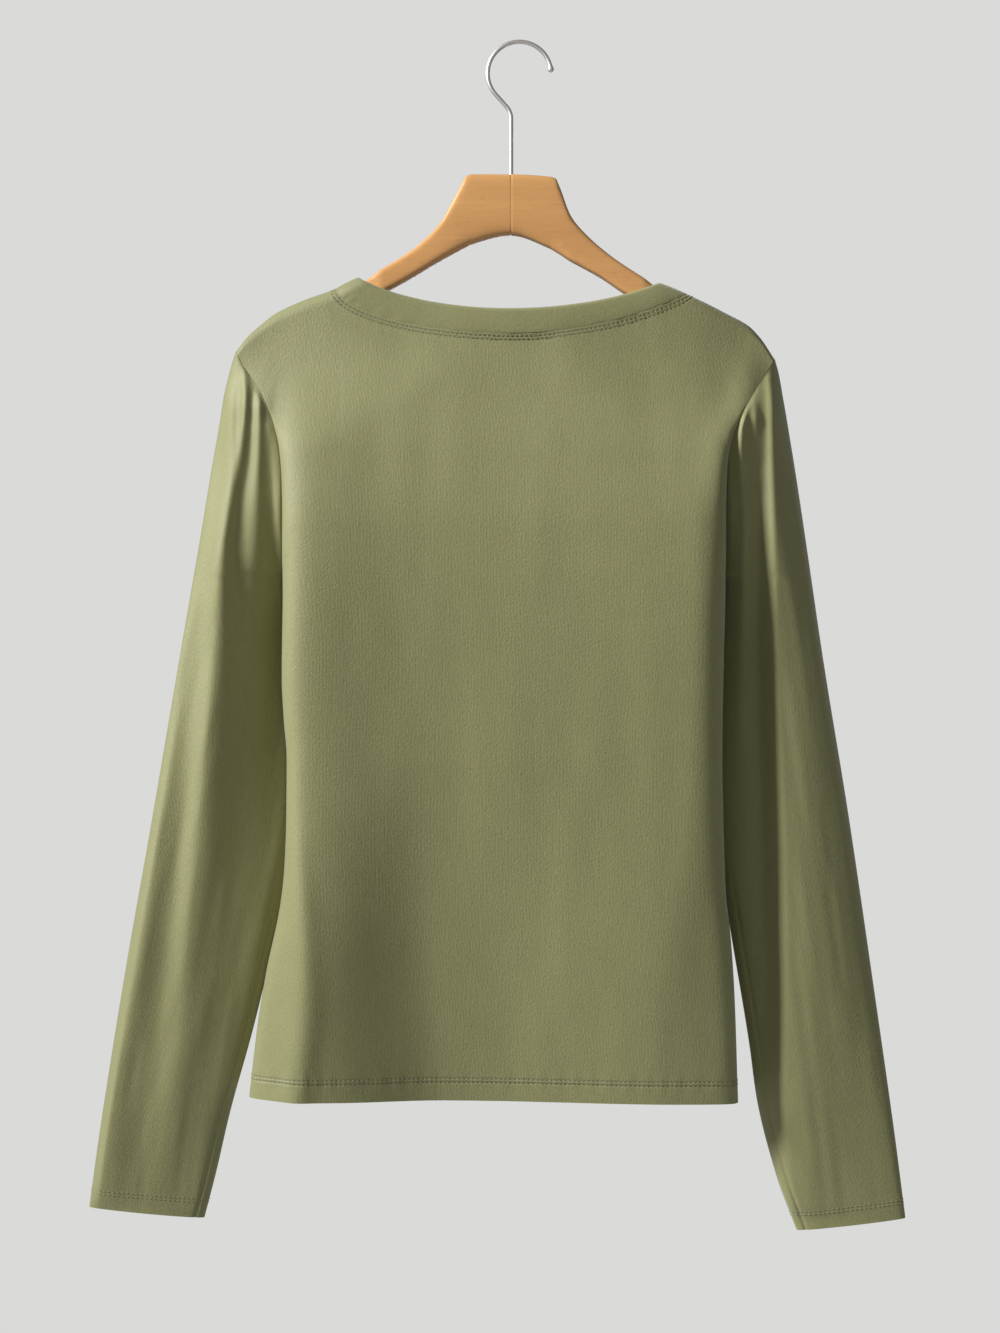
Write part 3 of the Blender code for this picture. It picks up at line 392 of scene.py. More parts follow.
def put_cloth(
    node: str,
    outer: Array,
    normals: Array,
    thick: float,
    closed: bool,
    marks: Array,
    finish: "Finish",
) -> Piece:
    """Makes a thin shell of cloth from a grid for its outer face, with an inner face and rims.

    Its knit direction is a UV map, and its distance from rows of stitches is an attribute.

    Args:
        node: The plain solid that it replaces.
        outer: The grid's points.
        normals: Its outward normals.
        thick: The cloth's thickness.
        closed: Whether the grid's last column meets its first.
        marks: Each point's distance from a row of stitches.
        finish: Its finish.

    Returns:
        The new piece.
    """
    rows, columns = outer.shape[:2]
    count = rows * columns
    points = np.concatenate([outer.reshape(-1, 3), (outer - normals * thick).reshape(-1, 3)])
    index = np.arange(count).reshape(rows, columns)
    laid = outer
    if closed:
        index = np.concatenate([index, index[:, :1]], axis=1)
        laid = np.concatenate([laid, laid[:, :1]], axis=1)
    cut_u, cut_v = lengths(laid, 1), lengths(laid, 0)
    cut_u = cut_u - cut_u[:, cut_u.shape[1] // 2][:, None]
    first, last = slice(None, -1), slice(1, None)
    corners = (first, first), (first, last), (last, last), (last, first)
    quads, quad_u, quad_v = (
        np.stack([a[corner] for corner in corners], axis=-1).reshape(-1, 4) for a in (index, cut_u, cut_v)
    )
    borders = [index[0], index[-1][::-1]]
    if not closed:
        borders += [index[:, 0][::-1], index[:, -1]]
    rims = [np.stack([b[:-1], b[:-1] + count, b[1:] + count, b[1:]], axis=-1) for b in borders]
    faces = np.concatenate([quads, quads[:, ::-1] + count, *rims])
    a, b, c = (points[quads[:, corner]] for corner in range(3))
    if np.sum(np.cross(b - a, c - b) * normals.reshape(-1, 3)[quads[:, 0]]) < 0:
        faces, quad_u, quad_v = faces[:, ::-1], quad_u[:, ::-1], quad_v[:, ::-1]
    name = node + "_cloth"
    mesh = bpy.data.meshes.new(name)
    mesh.from_pydata((points * MM).tolist(), [], faces.tolist())
    mesh.update()
    knit = np.stack([quad_u, quad_v], axis=-1)
    spread = np.zeros((len(faces), 4, 2))
    spread[: 2 * len(quads)] = np.concatenate([knit, knit[:, ::-1]]) * MM
    mesh.uv_layers.new(name="knit").data.foreach_set("uv", spread.ravel())
    layer = mesh.attributes.new("from_stitches", "FLOAT", "POINT")
    layer.data.foreach_set("value", np.tile(np.minimum(marks, FAR_FROM_STITCHES).ravel(), 2))
    mesh.shade_smooth()
    mesh.set_sharp_from_angle(angle=CLOTH_EDGE)
    return put_piece(name, mesh, finish, node)


def tube_mesh(name: str, rings: Array, flip: bool) -> bpy.types.Mesh:
    """Makes a smooth closed tube of rings of points, with a cap at each end, all turned over if asked."""
    index = np.arange(rings.shape[0] * rings.shape[1]).reshape(rings.shape[:2])
    wrapped = np.concatenate([index, index[:, :1]], axis=1)
    quads = np.stack([wrapped[:-1, :-1], wrapped[:-1, 1:], wrapped[1:, 1:], wrapped[1:, :-1]], axis=-1)
    faces = quads.reshape(-1, 4).tolist() + [index[0][::-1].tolist(), index[-1].tolist()]
    mesh = bpy.data.meshes.new(name)
    mesh.from_pydata((rings.reshape(-1, 3) * MM).tolist(), [], [f[::-1] if flip else f for f in faces])
    mesh.shade_smooth()
    return mesh


@dataclass
class Panel:
    """The back or the front: columns run from shoulders and neck to the hem."""

    name: str
    side: Side
    form: BodyForm
    left: Table
    right: Table
    folds: Folds
    fine: int = 6
    shoulder_columns: int = 7
    neck_columns: int = 16
    hem_middle: float = 736.0
    edge_turn: float = 2.5
    corner_fan: float = 9.0
    corner_fan_drop: float = 4.0
    fan_blur: float = 12.0
    roundness: float = 20.0
    follows_arm: float = 40.0
    thick: float = 1.3
    seam_gap: float = 0.05
    hem_deep: float = 16.0
    hem_rows: Pair = (15.4, 12.9)
    neck_rows: Pair = (2.1, 4.5)
    neck_reach: float = 16.0
    row_sunk: float = 0.3
    row_wide: float = 0.8
    hem_proud: float = 0.45
    hem_pucker: float = 0.28
    neck_pucker: float = 0.16
    wrinkles: Wrinkles = ((0.55, (46, 130), 3), (0.25, (19, 70), 4))
    # Each pair is where a change starts and how far it takes, the first three in millimetres.
    edge_frees: Pair = (8, 40)
    drapes_below: Pair = (12, 60)
    opens_beside: Pair = (4, 28)
    halves_meet: Pair = (0.35, 0.3)
    lies_until: Pair = (0.1, 0.15)
    edge_lies_until: Pair = (0.03, 0.05)
    edge_inward: float = 0.8
    settles_by: float = 0.42
    follows_by: float = 0.2
    follows_beside: float = 0.07
    head_shares: tuple[float, ...] = (0, 0.005, 0.015, 0.032, 0.06, 0.098, 0.15, 0.22, 0.3)
    arm_shares: tuple[float, ...] = (0.39, 0.5, 0.62, 0.76, 0.88, 0.95, 0.985, 1)
    side_shares: tuple[float, ...] = (0.017, 0.04, 0.075, 0.13, 0.2, 0.28, 0.37, 0.46, 0.56, 0.66, 0.76)
    hem_shares: tuple[float, ...] = (0.85, 0.92, 0.945, 0.954, 0.9605, 0.967, 0.975, 0.988, 1)
    grid: Array = field(init=False)
    normals: Array = field(init=False)
    below_neck: Array = field(init=False)
    above_hem: Array = field(init=False)

    def __post_init__(self) -> None:
        """Works out the panel's surface."""
        self.armhole_rows = (len(self.head_shares + self.arm_shares) - 1) * self.fine
        self.shape()

    def neck_seam(self, turn: Array) -> Line:
        """Returns x and drop of the seam with the neckband, for turns over this panel."""
        return self.form.line(self.form.seam, turn if self.side is Side.BACK else 2 * math.pi - turn)

    def refine(self, shares: tuple[float, ...] | Array) -> Array:
        """Returns the shares with more steps between them."""
        count = len(shares)
        dense = np.linspace(0, count - 1, (count - 1) * self.fine + 1)
        return np.interp(dense, np.arange(count), np.asarray(shares, float))

    def edge_drops(self, edge: Table) -> Array:
        """Returns the drops of an edge's rows: the armhole's, then the side seam's."""
        top, under, hem = edge.places[0], self.underarm(edge), edge.places[-1]
        armhole = top + self.refine(self.head_shares + self.arm_shares) * (under - top)
        side = self.refine((0.0, *self.side_shares, *self.hem_shares))[1:]
        return np.concatenate([armhole, under + side * (hem - under)])

    @staticmethod
    def underarm(edge: Table) -> float:
        """Returns the first drop below the shoulder tip where back and front meet."""
        meets = edge.columns["back"] == edge.columns["front"]
        return float(edge.places[1:][meets[1:]][0])

    def told_y(self, edge: Table, drop: Array) -> Array:
        """Returns an edge's Y as its table says, one line for both panels below the underarm."""
        told = edge.at(drop, self.side.word)
        return np.where(drop < self.underarm(edge), told, edge.at(drop, "back"))

    def edge_y(self, edge: Table, x: Array, drop: Array) -> tuple[Array, Array, Array]:
        """Where an edge stands.

        Args:
            edge: The edge's table.
            x: Its places across.
            drop: Its places down.

        Returns:
            Its Y, the same evened out along it for the cloth beside it, and how crisp it is.
        """
        lying = self.form.y(self.side, x, drop)
        free = ramp(drop - edge.places[0], *self.edge_frees)
        told = self.told_y(edge, drop)
        evened = np.mean([self.told_y(edge, drop + near) for near in NEARBY], axis=0)
        return lying + (told - lying) * free, lying + (evened - lying) * free, edge.at(drop, "crisp")

    def open_y(self, x: Array, drop: Array) -> Line:
        """Where the panel hangs away from its edges, told by place alone so that no crease can form.

        Each place is matched with both edges at its own drop, or near the arms at the same distance
        below the ridge. Across, the panel is a superellipse between them.

        Args:
            x: Places across.
            drop: Places down.

        Returns:
            Y, and how fully the cloth hangs free of its edges, 0 to 1.
        """
        ridge = self.form.hanger.ridge(x)
        near_arm = np.exp(-(drop - ridge).clip(0) / self.follows_arm)
        left_drop = drop + (self.left.places[0] - ridge) * near_arm
        right_drop = drop + (self.right.places[0] - ridge) * near_arm
        left_x, right_x = self.left.at(left_drop, "x"), self.right.at(right_drop, "x")
        share = ((x - left_x) / (right_x - left_x)).clip(0, 1)
        to_right = ramp(share, *self.halves_meet)
        _, left_slow, left_crisp = self.edge_y(self.left, left_x, left_drop)
        _, right_slow, right_crisp = self.edge_y(self.right, right_x, right_drop)
        slow = left_slow + (right_slow - left_slow) * to_right
        crisp = left_crisp + (right_crisp - left_crisp) * to_right
        inward = (1 - np.abs(2 * share - 1) ** self.roundness).clip(0) ** crisp
        return slow + (self.form.y(self.side, x, drop) - slow) * inward, inward

    def top_line(self) -> tuple[Array, Array, Array]:
        """The top of each column, along a shoulder, round the neck and along the other shoulder.

        Returns:
            X, drop, and how far the column leans out just below.
        """
        form, ridge = self.form, self.form.hanger.ridge
        step = np.linspace(0, 1, self.shoulder_columns * self.fine + 1)
        gather = step * (0.35 + 0.65 * step)
        tips = self.left.columns["x"][0], self.right.columns["x"][0]
        left = tips[0] + gather * (form.seam.centre - form.seam.half - tips[0])
        right = tips[1] + gather[::-1] * (form.seam.centre + form.seam.half - tips[1])
        turn = form.turns(np.linspace(0, 1, self.neck_columns * self.fine + 1))[1:-1]
        neck_x, neck_drop = self.neck_seam(turn)
        x = np.concatenate([left, neck_x, right])
        drop = np.concatenate([ridge(left), neck_drop, ridge(right)])
        fan = np.concatenate([-gather, -np.cos(turn) * np.abs(np.cos(turn)), gather[::-1]])
        away = np.abs(x[:, None] - x[None, :])
        weight = np.exp(-((away / self.fan_blur) ** 2)) * np.gradient(x)[None, :]
        blurred = weight @ fan / weight.sum(axis=1)
        ends = ease(np.minimum(x - x[0], x[-1] - x) / (2 * self.fan_blur))
        return x, drop, blurred * ends * self.corner_fan

    def shape(self) -> None:
        """Works out the outer face: a hanging surface blended into the edges, with folds and the hem."""
        form, sign = self.form, self.side.value
        top_x, top_drop, fan = self.top_line()
        columns = len(top_x)
        spread = (1 - np.cos(np.linspace(0, math.pi, columns))) / 2
        left_drop, right_drop = self.edge_drops(self.left), self.edge_drops(self.right)
        left_x, right_x = self.left.at(left_drop, "x"), self.right.at(right_drop, "x")
        down = (left_drop - left_drop[0]) / (left_drop[-1] - left_drop[0])
        hem_drops = np.array([left_drop[-1], self.hem_middle, right_drop[-1]])
        hem = smooth(spread, np.array([0, 0.5, 1]), hem_drops)
        settle = 1 - (1 - np.clip(down / self.settles_by, 0, 1))[:, None] ** 3
        across = settle * spread + (1 - settle) * (top_x - top_x[0]) / (top_x[-1] - top_x[0])
        below_top = (left_drop - left_drop[0])[:, None]
        x = left_x[:, None] + across * (right_x - left_x)[:, None]
        x = x + (1 - settle) * fan * (1 - np.exp(-below_top / self.corner_fan_drop))
        drop = top_drop + down[:, None] * (hem - top_drop)
        drop += (1 - across) * (left_drop[:, None] - drop[:, :1])
        drop += across * (right_drop[:, None] - drop[:, -1:])
        from_edge = np.minimum(across, 1 - across)
        beside = np.clip(from_edge / self.follows_beside, 0, 1)
        follows = (1 - ease(down / self.follows_by))[:, None] * (1 - (1 - beside) ** 2)
        drop += (form.hanger.ridge(x) - form.hanger.ridge(top_x)) * follows

        left_y, left_slow, left_crisp = self.edge_y(self.left, left_x, left_drop)
        right_y, right_slow, right_crisp = self.edge_y(self.right, right_x, right_drop)
        on_left = across < 0.5
        edge = np.where(on_left, left_y[:, None], right_y[:, None])
        slow = np.where(on_left, left_slow[:, None], right_slow[:, None])
        crisp = np.where(on_left, left_crisp[:, None], right_crisp[:, None])
        inward = (1 - np.abs(2 * across - 1) ** self.roundness).clip(0) ** crisp
        from_side = np.where(on_left, x - left_x[:, None], right_x[:, None] - x)
        hanging = form.y(self.side, x, drop)
        y = slow + (hanging - slow) * inward + (edge - slow) * np.exp(-from_side / self.edge_turn)
        open_y, open_inward = self.open_y(x, drop)
        away = ramp(from_side, *self.opens_beside)
        y += (open_y - y) * away
        inward += (open_inward - inward) * away
        y[0] = form.y(self.side, x[0], drop[0])

        self.above_hem = hem - drop
        self.below_neck = self.from_neck(x, drop)
        free = ramp(drop - form.hanger.ridge(x), *self.drapes_below) * inward
        lift = self.folds.lift(x, drop) * inward
        lift += free * sum(high * soft_noise(x, drop, cell, seed) for high, cell, seed in self.wrinkles)
        lift += self.hem_relief(x, drop) + self.neck_relief(x)
        grid = np.stack([x, y + sign * lift, -drop], axis=-1)

        normals = grid_normals(grid, closed=False)
        if (normals[len(normals) // 2, columns // 2, 1] > 0) != (sign > 0):
            normals = -normals
        lying = 1 - ramp(down, *self.lies_until)[:, None]
        lying = lying * (1 - ramp(down[:, None], *self.edge_lies_until) * (inward < self.edge_inward))
        lying = lying[..., None]
        self.grid = grid
        self.normals = unit(lying * form.normal(self.side, x, drop) + (1 - lying) * normals)
        self.set_seams()

    def from_neck(self, x: Array, drop: Array) -> Array:
        """Returns each place's distance from the neck seam, as seen from the front, if it is near."""
        seam_x, seam_drop = self.neck_seam(self.form.turns(np.linspace(0, 1, 260)))
        away = np.full(x.shape, FAR_FROM_NECK)
        near = drop < seam_drop.max() + self.neck_reach
        places = np.stack([x[near], drop[near]], axis=-1)[:, None]
        seam = np.stack([seam_x, seam_drop], axis=-1)[None]
        away[near] = np.linalg.norm(places - seam, axis=-1).min(axis=1)
        return away

    def hem_relief(self, x: Array, drop: Array) -> Array:
        """Returns the hem's relief: a doubled strip, two sunk rows of stitches, and puckers between."""
        above = self.above_hem
        doubled = turned_up(above, self.hem_deep, self.hem_proud)
        sunk = sum(self.row_sunk * bell(above - row, self.row_wide) for row in self.hem_rows)
        waves = np.sin(2 * math.pi * (x / 12.5 + 0.6 * soft_noise(x, drop * 0, (30, 50), 8)))
        strong = 0.6 + 0.4 * soft_noise(x, drop * 0, (40, 50), 9)
        return doubled - sunk + self.hem_pucker * waves * strong * bell(above - 14, 7)

    def neck_relief(self, x: Array) -> Array:
        """Returns the puckers that the neck seam leaves just below it."""
        waves = np.sin(2 * math.pi * x / 9.5 + 2.0 * soft_noise(x, x * 0, (35, 50), 12))
        strong = ease((self.form.seam.half - 14 - np.abs(x)) / 20)
        return self.neck_pucker * waves * strong * bell(self.below_neck - 5, 5)

    def set_seams(self) -> None:
        """Opens half a gap at the shoulders and sides, and turns the normals there level."""
        half_gap = self.side.value * self.seam_gap / 2
        wide = self.shoulder_columns * self.fine + 1
        shoulder = np.r_[0:wide, self.grid.shape[1] - wide : self.grid.shape[1]]
        self.grid[0, shoulder, 1] += half_gap
        flat = np.array([1.0, 0.0, 1.0])
        self.normals[0, shoulder] = unit(self.normals[0, shoulder] * flat)
        for column in (0, -1):
            self.grid[self.armhole_rows :, column, 1] += half_gap
            below = self.normals[self.armhole_rows :, column]
            self.normals[self.armhole_rows :, column] = unit(below * flat)

    def build(self, jersey: "Jersey") -> Piece:
        """Makes the panel in a finish, with marks along its hem and neck, and hides its plain solid."""
        near_hem = [np.abs(self.above_hem - row) for row in self.hem_rows]
        near_neck = [np.abs(self.below_neck - row) for row in self.neck_rows]
        marks = np.min(near_hem + near_neck, axis=0)
        return put_cloth(self.name, self.grid, self.normals, self.thick, False, marks, jersey)

    def stitch_lines(self) -> list[Line]:
        """Returns the lines of points and normals that the panel's stitches follow: hem, then neck."""
        hem = [level_line(self.grid, self.normals, self.above_hem, row) for row in self.hem_rows]
        return hem + [self.line_below_neck(row) for row in self.neck_rows]

    def line_below_neck(self, below: float) -> Line:
        """Returns points and normals of a line on the panel at a distance outside the neck seam."""
        form = self.form
        x, drop = self.neck_seam(form.turns(np.linspace(0.012, 0.988, 240)))
        points = np.stack([x, form.y(self.side, x, drop), -drop], axis=-1)
        along = unit(np.gradient(points, axis=0))
        away = np.cross(along, form.normal(self.side, x, drop))
        away *= np.sign(-away[:, 2:3] * 0.2 - (form.seam.centre - x)[:, None] * away[:, :1])
        moved = points + away * below
        x, drop = moved[:, 0], -moved[:, 2]
        return np.stack([x, form.y(self.side, x, drop), -drop], axis=-1), form.normal(self.side, x, drop)


@dataclass
class Sleeve:
    """A tube of jersey from the armhole to the open cuff, with a gathered head."""

    name: str
    hand: Hand
    outer: Table
    inner: Table
    section: Table
    folds: Folds
    seed: int
    cap_rows: int = 54
    tube_rows: int = 96
    thick: float = 1.2
    gap: float = 0.08
    tip_gap: float = 0.25
    hidden_share: float = 0.7
    hidden_shift: float = 6.0
    seam_turn: float = 8.0
    evened_share: float = 0.75
    cuff_deep: float = 13.6
    cuff_rows: Pair = (13.0, 10.7)
    cuff_proud: float = 0.4
    row_sunk: float = 0.3
    row_wide: float = 0.9
    calms_above: float = 20.0
    inseam: float = 6.5
    inseam_sunk: float = 0.8
    inseam_shows: Pair = (560, 60)
    boxy: float = 0.6
    mask_steep: float = 4.5
    closes_below: float = 12.0
    folds_over: Pair = (20, 90)
    wrinkles: Wrinkles = ((0.5, (13, 80), 0), (0.22, (6, 40), 1))
    blur_rounds: int = 4
    grid: Array = field(init=False)
    normals: Array = field(init=False)
    above_cuff: Array = field(init=False)

    def seam_at(self, drop: Array, ring: Array) -> Line:
        """Returns x and y of the seam at a drop, or of the tube's inner edge below the underarm."""
        seam_drops = -ring[:, 2]
        low = drop > seam_drops[-1]
        x = np.where(low, self.inner.at(drop, "x"), np.interp(drop, seam_drops, ring[:, 0]))
        y = np.where(low, self.inner.at(drop, "y"), np.interp(drop, seam_drops, ring[:, 1]))
        return x, y

    def evened_y(self, drop: Array, ring: Array) -> Array:
        """Returns the seam's Y for the cloth away from it, evened out along it near the underarm."""
        sharp = self.seam_at(drop, ring)[1]
        evened = np.mean([self.seam_at(drop + near, ring)[1] for near in NEARBY], axis=0)
        from_underarm = drop + ring[-1, 2]
        share = self.evened_share * ease(from_underarm / 50 + 1.8) * (1 - ease(from_underarm / 36))
        return sharp + (evened - sharp) * share

    def place(
        self,
        turn: Array,
        seam_turn: Array | float,
        drop: Array,
        seam_x: Array,
        seam_y: Array,
        slow_y: Array,
        side: Side,
        inner_drop: Array,
    ) -> Array:
        """Points of one row of one half of the tube.

        From the outer edge to the seam or the inner edge, x follows a cosine and y a half ellipse,
        squarer on its outer side. High on the head, where the sleeve is still one face over the
        shoulder tip, they follow a quarter.

        Args:
            turn: Each line's turn, 0 at the outer edge and pi at the inner one.
            seam_turn: The turn at which this row meets the armhole.
            drop: Each point's drop.
            seam_x: X at the seam or the inner edge.
            seam_y: Y there.
            slow_y: The same, evened out for the cloth away from it.
            side: Back or front half.
            inner_drop: The row's drop at the inner edge.

        Returns:
            The row's points.
        """
        share = np.clip(turn / seam_turn, 0, 1)
        folded = ramp(drop - self.outer.places[0], *self.folds_over)
        half_way = (1 - np.cos(math.pi * share)) / 2
        inward = (1 - folded) * (1 - np.cos(math.pi * share / 2)) + folded * half_way
        backward = (1 - folded) * np.sin(math.pi * share / 2) + folded * half_way
        outer_x, outer_y = self.outer.at(drop, "x"), self.outer.at(drop, "y")
        x = outer_x + (seam_x - outer_x) * inward
        depth = self.section.at(drop, side.word)
        swell = np.sin(math.pi * share).clip(0) ** (self.boxy + (1 - self.boxy) * half_way)
        y = outer_y + (slow_y - outer_y) * backward + side.value * depth * swell * folded
        y = y + (seam_y - slow_y) * np.exp(-self.seam_turn * (1 - share))
        drop_here = drop + (inner_drop - drop) * half_way
        hidden = side is Side.FRONT
        shift = -self.hand.value * self.hidden_shift if hidden else 0.0
        mask = np.clip(self.mask_steep * np.sin(math.pi * share), 0, 1) * ease(share * 5)
        lift = self.folds.lift(x, drop_here, shift) * (self.hidden_share if hidden else 1.0)
        seed = self.seed + (7 if hidden else 0)
        for high, cell, step in self.wrinkles:
            lift = lift + high * soft_noise(x - outer_x, drop_here, cell, seed + step)
        lift = lift * mask
        cuff = self.outer.places[-1] - drop
        near_cuff = ease((self.calms_above - cuff) / self.calms_above)
        lift = lift * (1 - 0.5 * near_cuff) + turned_up(cuff, self.cuff_deep, self.cuff_proud)
        lift = lift - sum(self.row_sunk * bell(cuff - row, self.row_wide) for row in self.cuff_rows)
        inner_x = self.inner.at(np.maximum(drop_here, self.inner.places[0]), "x")
        groove = bell(np.abs(x - inner_x) - self.inseam, 1.1) * ramp(drop, *self.inseam_shows)
        lift = lift - (self.inseam_sunk * groove if side is Side.BACK else 0.0)
        return np.stack([x, y + side.value * lift, -drop_here], axis=-1)

    def half(self, ring: Array, side: Side) -> Array:
        """One half of the tube, as lines from the seam points down to the cuff.

        Args:
            ring: The seam's points from the shoulder tip to the underarm.
            side: Back or front half.

        Returns:
            Rows of points.
        """
        count = len(ring)
        turns = np.linspace(0, math.pi, count)
        seam_drops = -ring[:, 2]
        closes = seam_drops[-1] + self.closes_below
        rows = [ring.copy()]
        for share in np.linspace(0, 1, self.cap_rows + 1)[1:] ** 1.35:
            drop = seam_drops + (closes - seam_drops) * share
            seam_turn = np.maximum(np.interp(drop, seam_drops, turns), 1e-6)
            seam_x, seam_y = self.seam_at(drop, ring)
            slow_y = self.evened_y(drop, ring)
            rows.append(self.place(turns, seam_turn, drop, seam_x, seam_y, slow_y, side, drop))
        cuff = self.outer.places[-1]
        for share in np.linspace(0, 1, self.tube_rows + 1)[1:]:
            bent = share * (1.12 - 0.12 * share)
            drop = np.full(count, closes + (cuff - closes) * min(bent, 1.0))
            inner_drop = drop + self.section.at(drop, "lean")
            inner_x, inner_y = self.inner.at(inner_drop, "x"), self.inner.at(inner_drop, "y")
            slow_y = self.evened_y(inner_drop, ring)
            rows.append(self.place(turns, math.pi, drop, inner_x, inner_y, slow_y, side, inner_drop))
        return np.array(rows)

    def shape(self, back: Panel, front: Panel) -> None:
        """Works out the tube from the armhole that the two panels leave.

        Args:
            back: The back panel.
            front: The front panel.
        """
        column = 0 if self.hand is Hand.LEFT else -1
        rows = back.armhole_rows
        down, up = (slice(rows + 1), column), (slice(rows - 1, 0, -1), column)
        ring = np.concatenate([back.grid[down], front.grid[up]])
        seam = np.concatenate([back.normals[down], front.normals[up]])
        for meeting in (0, rows):
            ring[meeting, 1] = (back.grid[meeting, column, 1] + front.grid[meeting, column, 1]) / 2
        near_tip = 1 - ease((-ring[:, 2] - self.outer.places[0]) / 20)
        ring[:, 0] += self.hand.value * (self.gap + (self.tip_gap - self.gap) * near_tip)
        back_half = self.half(ring[: rows + 1], Side.BACK)
        front_half = self.half(np.concatenate([ring[:1], ring[: rows - 1 : -1]]), Side.FRONT)
        grid = np.concatenate([back_half, front_half[:, -2:0:-1]], axis=1)
        normals = grid_normals(grid, closed=True)
        if np.sum((grid - grid.mean(axis=1, keepdims=True)) * normals) < 0:
            normals = -normals
        folded = ramp(-ring[:, 2] - self.outer.places[0], *self.folds_over)[:, None]
        near = ease((-ring[:, 2] - (-ring[rows, 2] - 32)) / 26)[:, None]
        inwards = np.array([-self.hand.value, 0.0, 0.0])
        for row in range(self.cap_rows // 2):
            share = 1 - row / (self.cap_rows // 2)
            for _ in range(self.blur_rounds):
                after, before = np.roll(normals[row], 1, 0), np.roll(normals[row], -1, 0)
                normals[row] = (normals[row] * 2 + after + before) / 4
            normals[row] += (seam - normals[row]) * (1 - folded) * share**2
            normals[row] += (inwards - normals[row]) * near * share**2
            normals[row] = unit(normals[row])
        self.grid, self.normals = grid, normals

    def build(self, back: Panel, front: Panel, jersey: "Jersey") -> Piece:
        """Makes the sleeve on the armhole that two panels leave, and hides its plain solid."""
        self.shape(back, front)
        self.above_cuff = self.grid[..., 2] - self.grid[-1:, :, 2]
        marks = np.min([np.abs(self.above_cuff - row) for row in self.cuff_rows], axis=0)
        return put_cloth(self.name, self.grid, self.normals, self.thick, True, marks, jersey)

    def stitch_lines(self) -> list[Line]:
        """Returns the lines of points and normals that the cuff's stitches follow, all round."""
        return [level_line(self.grid, self.normals, self.above_cuff, row, True) for row in self.cuff_rows]


@dataclass
class Neckband:
    """A folded strip round the neck that carries on the panels' surface to a rolled free edge."""

    form: BodyForm
    columns: int = 176
    rows: int = 18
    thick: float = 1.9
    stands_out: float = 0.75
    roll: float = 1.2
    seam_gap: float = 0.05

    def build(self, jersey: "Jersey") -> Piece:
        """Makes the band: a ruled strip between two neck lines, swollen by a sine across its width."""
        form = self.form
        share = form.turns(np.linspace(0, 1, self.columns // 2 + 1))
        turn = np.concatenate([share, math.pi + share[1:-1]])
        back = np.sin(turn) >= -1e-9
        seam_x, seam_drop = form.line(form.seam, turn)
        edge_x, edge_drop = form.line(form.edge, turn)
        start = self.seam_gap / np.hypot(edge_x - seam_x, edge_drop - seam_drop)
        shares = start + (1 - start) * np.linspace(0, 1, self.rows + 1)[:, None]
        x = seam_x + (edge_x - seam_x) * shares
        drop = seam_drop + (edge_drop - seam_drop) * shares
        crossing = np.abs(np.sin(turn)) < 1e-6
        drop[:, crossing] = form.hanger.ridge(x[:, crossing])
        out = form.normal(Side.BACK, x, drop), form.normal(Side.FRONT, x, drop)
        normals = np.where(back[:, None], *out)
        normals[:, crossing] = (0.0, 0.0, 1.0)
        y = np.where(back, form.y(Side.BACK, x, drop), form.y(Side.FRONT, x, drop))
        swell = self.stands_out * np.clip(np.sin(math.pi * shares), 0, 1) ** 0.5
        pucker = 0.14 * np.sin(turn * 38 + 2 * soft_noise(turn * 40, turn * 0, (5, 5), 21))
        uneven = soft_noise(turn * 60, shares * 20, (6, 14), 22)
        swell = swell + pucker * bell(shares, 0.22) + 0.1 * uneven
        edge_roll = self.roll * ease((shares - 0.86) / 0.14)
        grid = np.stack([x, y, -drop], axis=-1) + normals * (swell - 0.55 * edge_roll**2)[..., None]
        marks = np.full(x.shape, FAR_FROM_STITCHES)
        return put_cloth("neckband", grid, normals, self.thick, True, marks, jersey)


